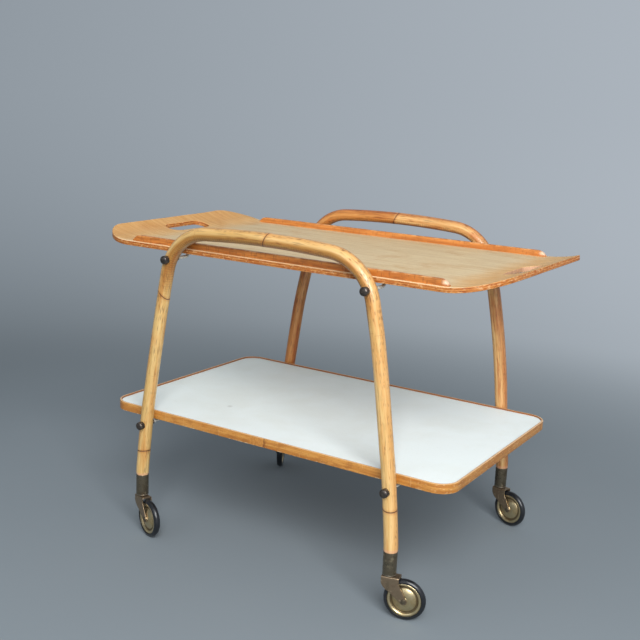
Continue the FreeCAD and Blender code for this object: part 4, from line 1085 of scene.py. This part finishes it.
# %% Turned wheel and tyre
WHEEL_R, TREAD = 38, 6.5       # radius over the tyre, and half the width of its tread
dish = [(6.2 + 15.3 * k / 12, 3.0 + 4.6 * cos(t) ** 0.9) for k, t in enumerate(quarter(12))]
wheel_half = eased([(3.05, 8.4), (6.0, 8.4)] + dish + [
    (22.3, 2.0), (24.2, 2.0), (25.6, 4.3), (27.4, 5.4), (29.6, 5.5), (31.0, 4.4)], 0.5)
wheel = turned(wheel_half + mirrored(wheel_half[::-1]), 96, closed=True)
crown_r = (TREAD ** 2 + 5 ** 2) / (2 * 5)                # an arc through both shoulders and the tread
crown_turn = asin(TREAD / crown_r)
crown = [(WHEEL_R - crown_r + crown_r * cos(t), crown_r * sin(t))
         for t in (crown_turn * k / 10 for k in range(10))]
tyre_half = eased(crown[1:] + [(33.0, TREAD), (31.1, TREAD), (31.1, 3.9), (29.0, 3.2)], 0.5)
tyre = turned(tyre_half[::-1] + crown[:1] + mirrored(tyre_half), 96, closed=True)
print("points of wheel and tyre:", len(wheel[0]), len(tyre[0]))

# %% Fold the fork from sheet
FORK_TOP, FORK_WIDE, FOLD, SHEET = 79.0, 21.4, 3.0, 2.0  # FOLD is the round outside a fold
EYE_R, NECK_Z = 6.5, 67         # round the axle, and where the cheek starts to slope
FRONT_ARC, FRONT_ARC_X, FRONT_ARC_Z = 26.65, 13.1, 75.96


def fork_front(z):
    """The front edge of a cheek: straight, hollow, sloping, then round the axle."""
    if z >= NECK_Z:
        return -12.0
    if z >= 51:
        return FRONT_ARC_X - sqrt(FRONT_ARC ** 2 - (z - FRONT_ARC_Z) ** 2)
    if z >= 32.8:
        return 3.75 + (26.1 - 3.75) * (51 - z) / (51 - 32.8)
    return AXLE_X - sqrt(max(0.0, EYE_R ** 2 - (z - AXLE_Z) ** 2))


def fork_back(z):
    """The back edge: straight, sloping, then round the axle."""
    if z >= NECK_Z:
        return 20.0
    if z >= AXLE_Z:
        return 20.0 + 16.5 * (NECK_Z - z) / (NECK_Z - AXLE_Z)
    return AXLE_X + sqrt(max(0.0, EYE_R ** 2 - (z - AXLE_Z) ** 2))


heights = [31.56, 31.8, 32.3, 33.0, 34.0, 35.2, 36.6, 38.0, 40.5, 43.5, 47, 51, 54, 57, 60, 63, 65, 67, 70,
           73, 76]
fold = [radians(15 * k) for k in range(1, 6)]
fork_rows = [(1, "side", z) for z in heights] + [(1, "fold", t) for t in fold]
fork_rows += [(1, "top", v) for v in (0.0, 0.15, 0.5, 0.85, 1.0)]
fork_rows += [(-1, "fold", t) for t in reversed(fold)] + [(-1, "side", z) for z in reversed(heights)]


def fork_place(i, k, inset, depth):
    """Rows run up one cheek, over the top and down the other. Columns run front to back."""
    sign, kind, value = fork_rows[k]
    half, z_edge = FORK_WIDE / 2, 70
    if kind == "side":
        z_edge = z = value + (inset if value == heights[0] else 0)
        y = half - depth
    elif kind == "fold":
        y = half - FOLD + (FOLD - depth) * cos(value)
        z = FORK_TOP - FOLD + (FOLD - depth) * sin(value)
    else:
        y, z = (half - FOLD) * (1 - 2 * value), FORK_TOP - depth
    low, high = fork_front(z_edge), fork_back(z_edge)
    low, high = low + min(inset, (high - low) * 0.4), high - min(inset, (high - low) * 0.4)
    at = (low + (high - low) * i / 6, sign * y, z)
    return at, at


fork, _ = sheet_shape(7, len(fork_rows), fork_place, rim_of(SHEET, 0.45))

# %% [markdown]
# ### Wheel brass and tyre rubber
#
# The pressed wheel is brass, with a painted highlight on its rolled rim, and darker and duller in its
# groove.
# On a turned part the distance from the axle tells rim from groove, and it stays the same
# however the wheel has rolled, so the finish measures that. The tyre is black rubber that
# is polished by the floor.

# %% Wheel and tyre finishes
look = Finish("wheel brass", bent=True, Specular_IOR_Level=0.5)
x, y, _ = look.axes()
blotches, specks, _ = look.shared(age, 70.0, 900.0)
reach = look.reach(x, y)
groove = look.times(look.mask(reach, 0.0205, 0.0222), look.mask(reach, 0.0262, 0.0246))
look.first(look.mask(blotches, 0.4, 0.68), (204, 186, 146), (176, 152, 108))
# The groove is painted dark.
look.coat(groove, (78, 64, 44), 0.8)
# Painted highlight: the rolled rim is painted brighter.
look.coat(look.mask(reach, 0.0262, 0.0272), (220, 200, 156), 0.6)
look.coat(specks, (84, 66, 44), 0.5)
dull = look.most(groove, look.mask(blotches, 0.45, 0.7))
wheel_brass = look.done(blotches, 0.06, 0.0002, Roughness=look.span(dull, 0.3, 0.42),
                        Metallic=look.span(dull, 0.95, 0.75))

look = Finish("tyre rubber", bent=True, Specular_IOR_Level=0.45, Coat_Roughness=0.12)
blotches, specks, _ = look.shared(age, 90.0, 1200.0)
look.first(look.mask(blotches, 0.4, 0.7), (20, 22, 26), (30, 32, 36))
look.coat(specks, (110, 106, 100), 0.4)
tyre_rubber = look.done(blotches, 0.2, 0.0003, Roughness=look.span(blotches, 0.26, 0.42),
                        Coat_Weight=look.span(blotches, 0.35, 0.1))

# %% Place the four casters
TURNS = {"front_left": -20.0, "front_right": 14.0, "back_left": -62.0, "back_right": -14.0}
for corner, turn in TURNS.items():
    x = -FOOT_X if corner.endswith("left") else FOOT_X
    y = -HOOP_Y if corner.startswith("front") else HOOP_Y
    spot = Matrix.Translation((x, y, 0)) @ Matrix.Rotation(radians(turn), 4, "Z")
    hub = spot @ Matrix.Translation((AXLE_X, 0, AXLE_Z)) @ ACROSS
    caster, roller = f"caster_{corner}", f"roller_{corner}"
    for name, part, where, finish, body, node, slot in (
            ("leg_ferrule", ferrule, spot, ferrule_metal, "frame", "ferrule", "ferrule"),
            ("stem_socket", socket, spot, flange_metal, "frame", "socket", "fixings"),
            ("swivel_stem", stem, spot, fork_metal, caster, "stem", "steel_pins"),
            ("caster_fork", fork, spot, fork_metal, caster, "fork", "fork_bronze"),
            ("wheel_axle", axle, hub, ferrule_metal, caster, "axle", "steel_pins"),
            ("brass_wheel", wheel, hub, wheel_brass, roller, "wheel", "wheel_brass"),
            ("black_tyre", tyre, hub, tyre_rubber, roller, "tyre", "tyre")):
        piece(f"{name}_{corner}", placed(part, where), finish, body, [f"{node}_{corner}"],
              laid=part[0] if body == roller else None)

# %% [markdown]
# ## Floor, backdrop and light
#
# The trolley stands on a plain pale grey floor that runs back into a soft backdrop. One very large disc
# does both: near the trolley it is an ordinary matt floor that takes its shadow, and further out it fades
# into the backdrop's tone, which the world carries on above the horizon. That tone is painted light: it
# glows, painted lighter towards the right-hand side and, on the floor, darker nearer the trolley. The tone
# depends only on where a point is, so the picture looks much the same from every side. Light comes from one
# large soft lamp, high on the right, with a weak fill from the left and an even grey sky.

# %% Backdrop tone, painted light
def backdrop_painted_light(bench, direction_x, direction_y, nearness):
    """Painted light on the backdrop: nearness is 1 close by and 0 at the horizon, and close by is painted
    darker; the light side lies to the right and is painted lighter.
    """
    side = bench.mask(bench.plus(bench.times(direction_x, 0.85), bench.times(direction_y, 0.53)), -1.2, 1.2)
    light = bench.mixed(side, paint(118, 128, 136), paint(190, 198, 207))
    dark = bench.mixed(side, paint(84, 93, 99), paint(166, 175, 183))
    return bench.mixed(nearness, light, dark)


def seen_by_eye(bench):
    """1 for what the camera sees, also in a mirror or through glass, and 0 for what only lights."""
    ray = bench.put("LightPath").outputs
    return bench.most(ray["Is Camera Ray"], bench.most(ray["Is Glossy Ray"], ray["Is Transmission Ray"]))


def shown(bench, share, first, second, output):
    """Joins a mix of two shaders to a tree's output."""
    both = bench.put("MixShader", {0: share, 1: first.outputs[0], 2: second.outputs[0]})
    bench.tree.links.new(both.outputs[0], bench.put(output).inputs[0])

# %% Floor
FLOOR_R, FLOOR_GAP = 400.0, 0.0003                       # out to the horizon, and just under the tyres
floor_finish = bpy.data.materials.new("studio floor")
floor_finish.use_nodes = True
floor_finish.node_tree.nodes.clear()
bench = Bench(floor_finish.node_tree)
place = bench.put("NewGeometry").outputs["Position"]
x, y, _ = bench.put("SeparateXYZ", {0: place}).outputs
reach = bench.reach(x, y)
tone = backdrop_painted_light(bench, bench.sum_of("DIVIDE", x, reach), bench.sum_of("DIVIDE", y, reach),
                     bench.mask(bench.sum_of("DIVIDE", 1.0, reach), 0.02, 0.75))
grey = bench.mixed(bench.cloud(place, 1.3, 3), paint(126, 135, 141), paint(132, 141, 147))
matt = bench.put("BsdfPrincipled", {"Roughness": 0.85, "Specular IOR Level": 0.15, "Base Color": grey})
far = bench.times(bench.mask(reach, 0.75, 2.1), seen_by_eye(bench))
shown(bench, far, matt, bench.put("Emission", {"Color": tone}), "OutputMaterial")
floor_mesh = bpy.data.meshes.new("studio_floor")
disc = bmesh.new()
bmesh.ops.create_circle(disc, cap_ends=True, radius=FLOOR_R, segments=128)
disc.to_mesh(floor_mesh)
disc.free()
floor_mesh.materials.append(floor_finish)
floor = bpy.data.objects.new("studio_floor", floor_mesh)
floor.location.z = -FLOOR_GAP
bpy.context.scene.collection.objects.link(floor)

# %% World
world = bpy.data.worlds.new("studio")
world.use_nodes = True
bpy.context.scene.world = world
world.node_tree.nodes.clear()
bench = Bench(world.node_tree)
look_x, look_y, look_up = bench.put("SeparateXYZ", {0: bench.put("TexCoord").outputs["Generated"]}).outputs
tone = backdrop_painted_light(bench, look_x, look_y, bench.mask(look_up, 5.0, 6.0))
sky = bench.put("Background", {"Color": paint(216, 222, 228), "Strength": 0.55})
wall = bench.put("Background", {"Color": tone, "Strength": 1.0})
shown(bench, seen_by_eye(bench), sky, wall, "OutputWorld")

# %% Lamps
def softbox(name, at, aim, width, height, power, colour):
    """A rectangular soft lamp that points at a spot."""
    lamp = bpy.data.lights.new(name, "AREA")
    lamp.shape, lamp.size, lamp.size_y = "RECTANGLE", width, height
    lamp.energy, lamp.color = power, colour[:3]
    holder = bpy.data.objects.new(name, lamp)
    holder.location = at
    holder.rotation_euler = (Vector(aim) - Vector(at)).to_track_quat("-Z", "Y").to_euler()
    bpy.context.scene.collection.objects.link(holder)
    print(name, power, "W")


softbox("key_softbox", (2.1, -2.5, 2.4), (0, 0, 0.35), 2.2, 2.2, 182.0, paint(252, 252, 252))
softbox("fill_softbox", (-0.5, -3.3, 1.7), (0, 0, 0.3), 2.0, 1.4, 12.0, paint(248, 251, 255))

# %% [markdown]
# ## Camera
#
# The camera stands a little above the tray, to the right of the front, and looks down by
# about twelve degrees. It is placed by a matrix: the columns are its right, its up and its
# backward direction, worked out from a heading, a pitch and a small roll.

# %% Camera
stand = Vector((0.9875, -1.6527, 0.8724))
heading, pitch, roll = (radians(a) for a in (31.76, 12.52, 2.57))
forward = Vector((-sin(heading) * cos(pitch), cos(heading) * cos(pitch), -sin(pitch)))
level = Vector((cos(heading), sin(heading), 0))
upright = level.cross(forward)
right = level * cos(roll) + upright * sin(roll)
up = upright * cos(roll) - level * sin(roll)
lens = bpy.data.cameras.new("view")
lens.sensor_width, lens.lens, lens.clip_start, lens.clip_end = 36.0, 54.76, 0.05, 2000.0
camera = bpy.data.objects.new("view", lens)
camera.matrix_world = Matrix.Translation(stand) @ Matrix((right, up, -forward)).transposed().to_4x4()
bpy.context.scene.collection.objects.link(camera)
bpy.context.scene.camera = camera
bpy.context.scene.view_settings.view_transform = "Standard"
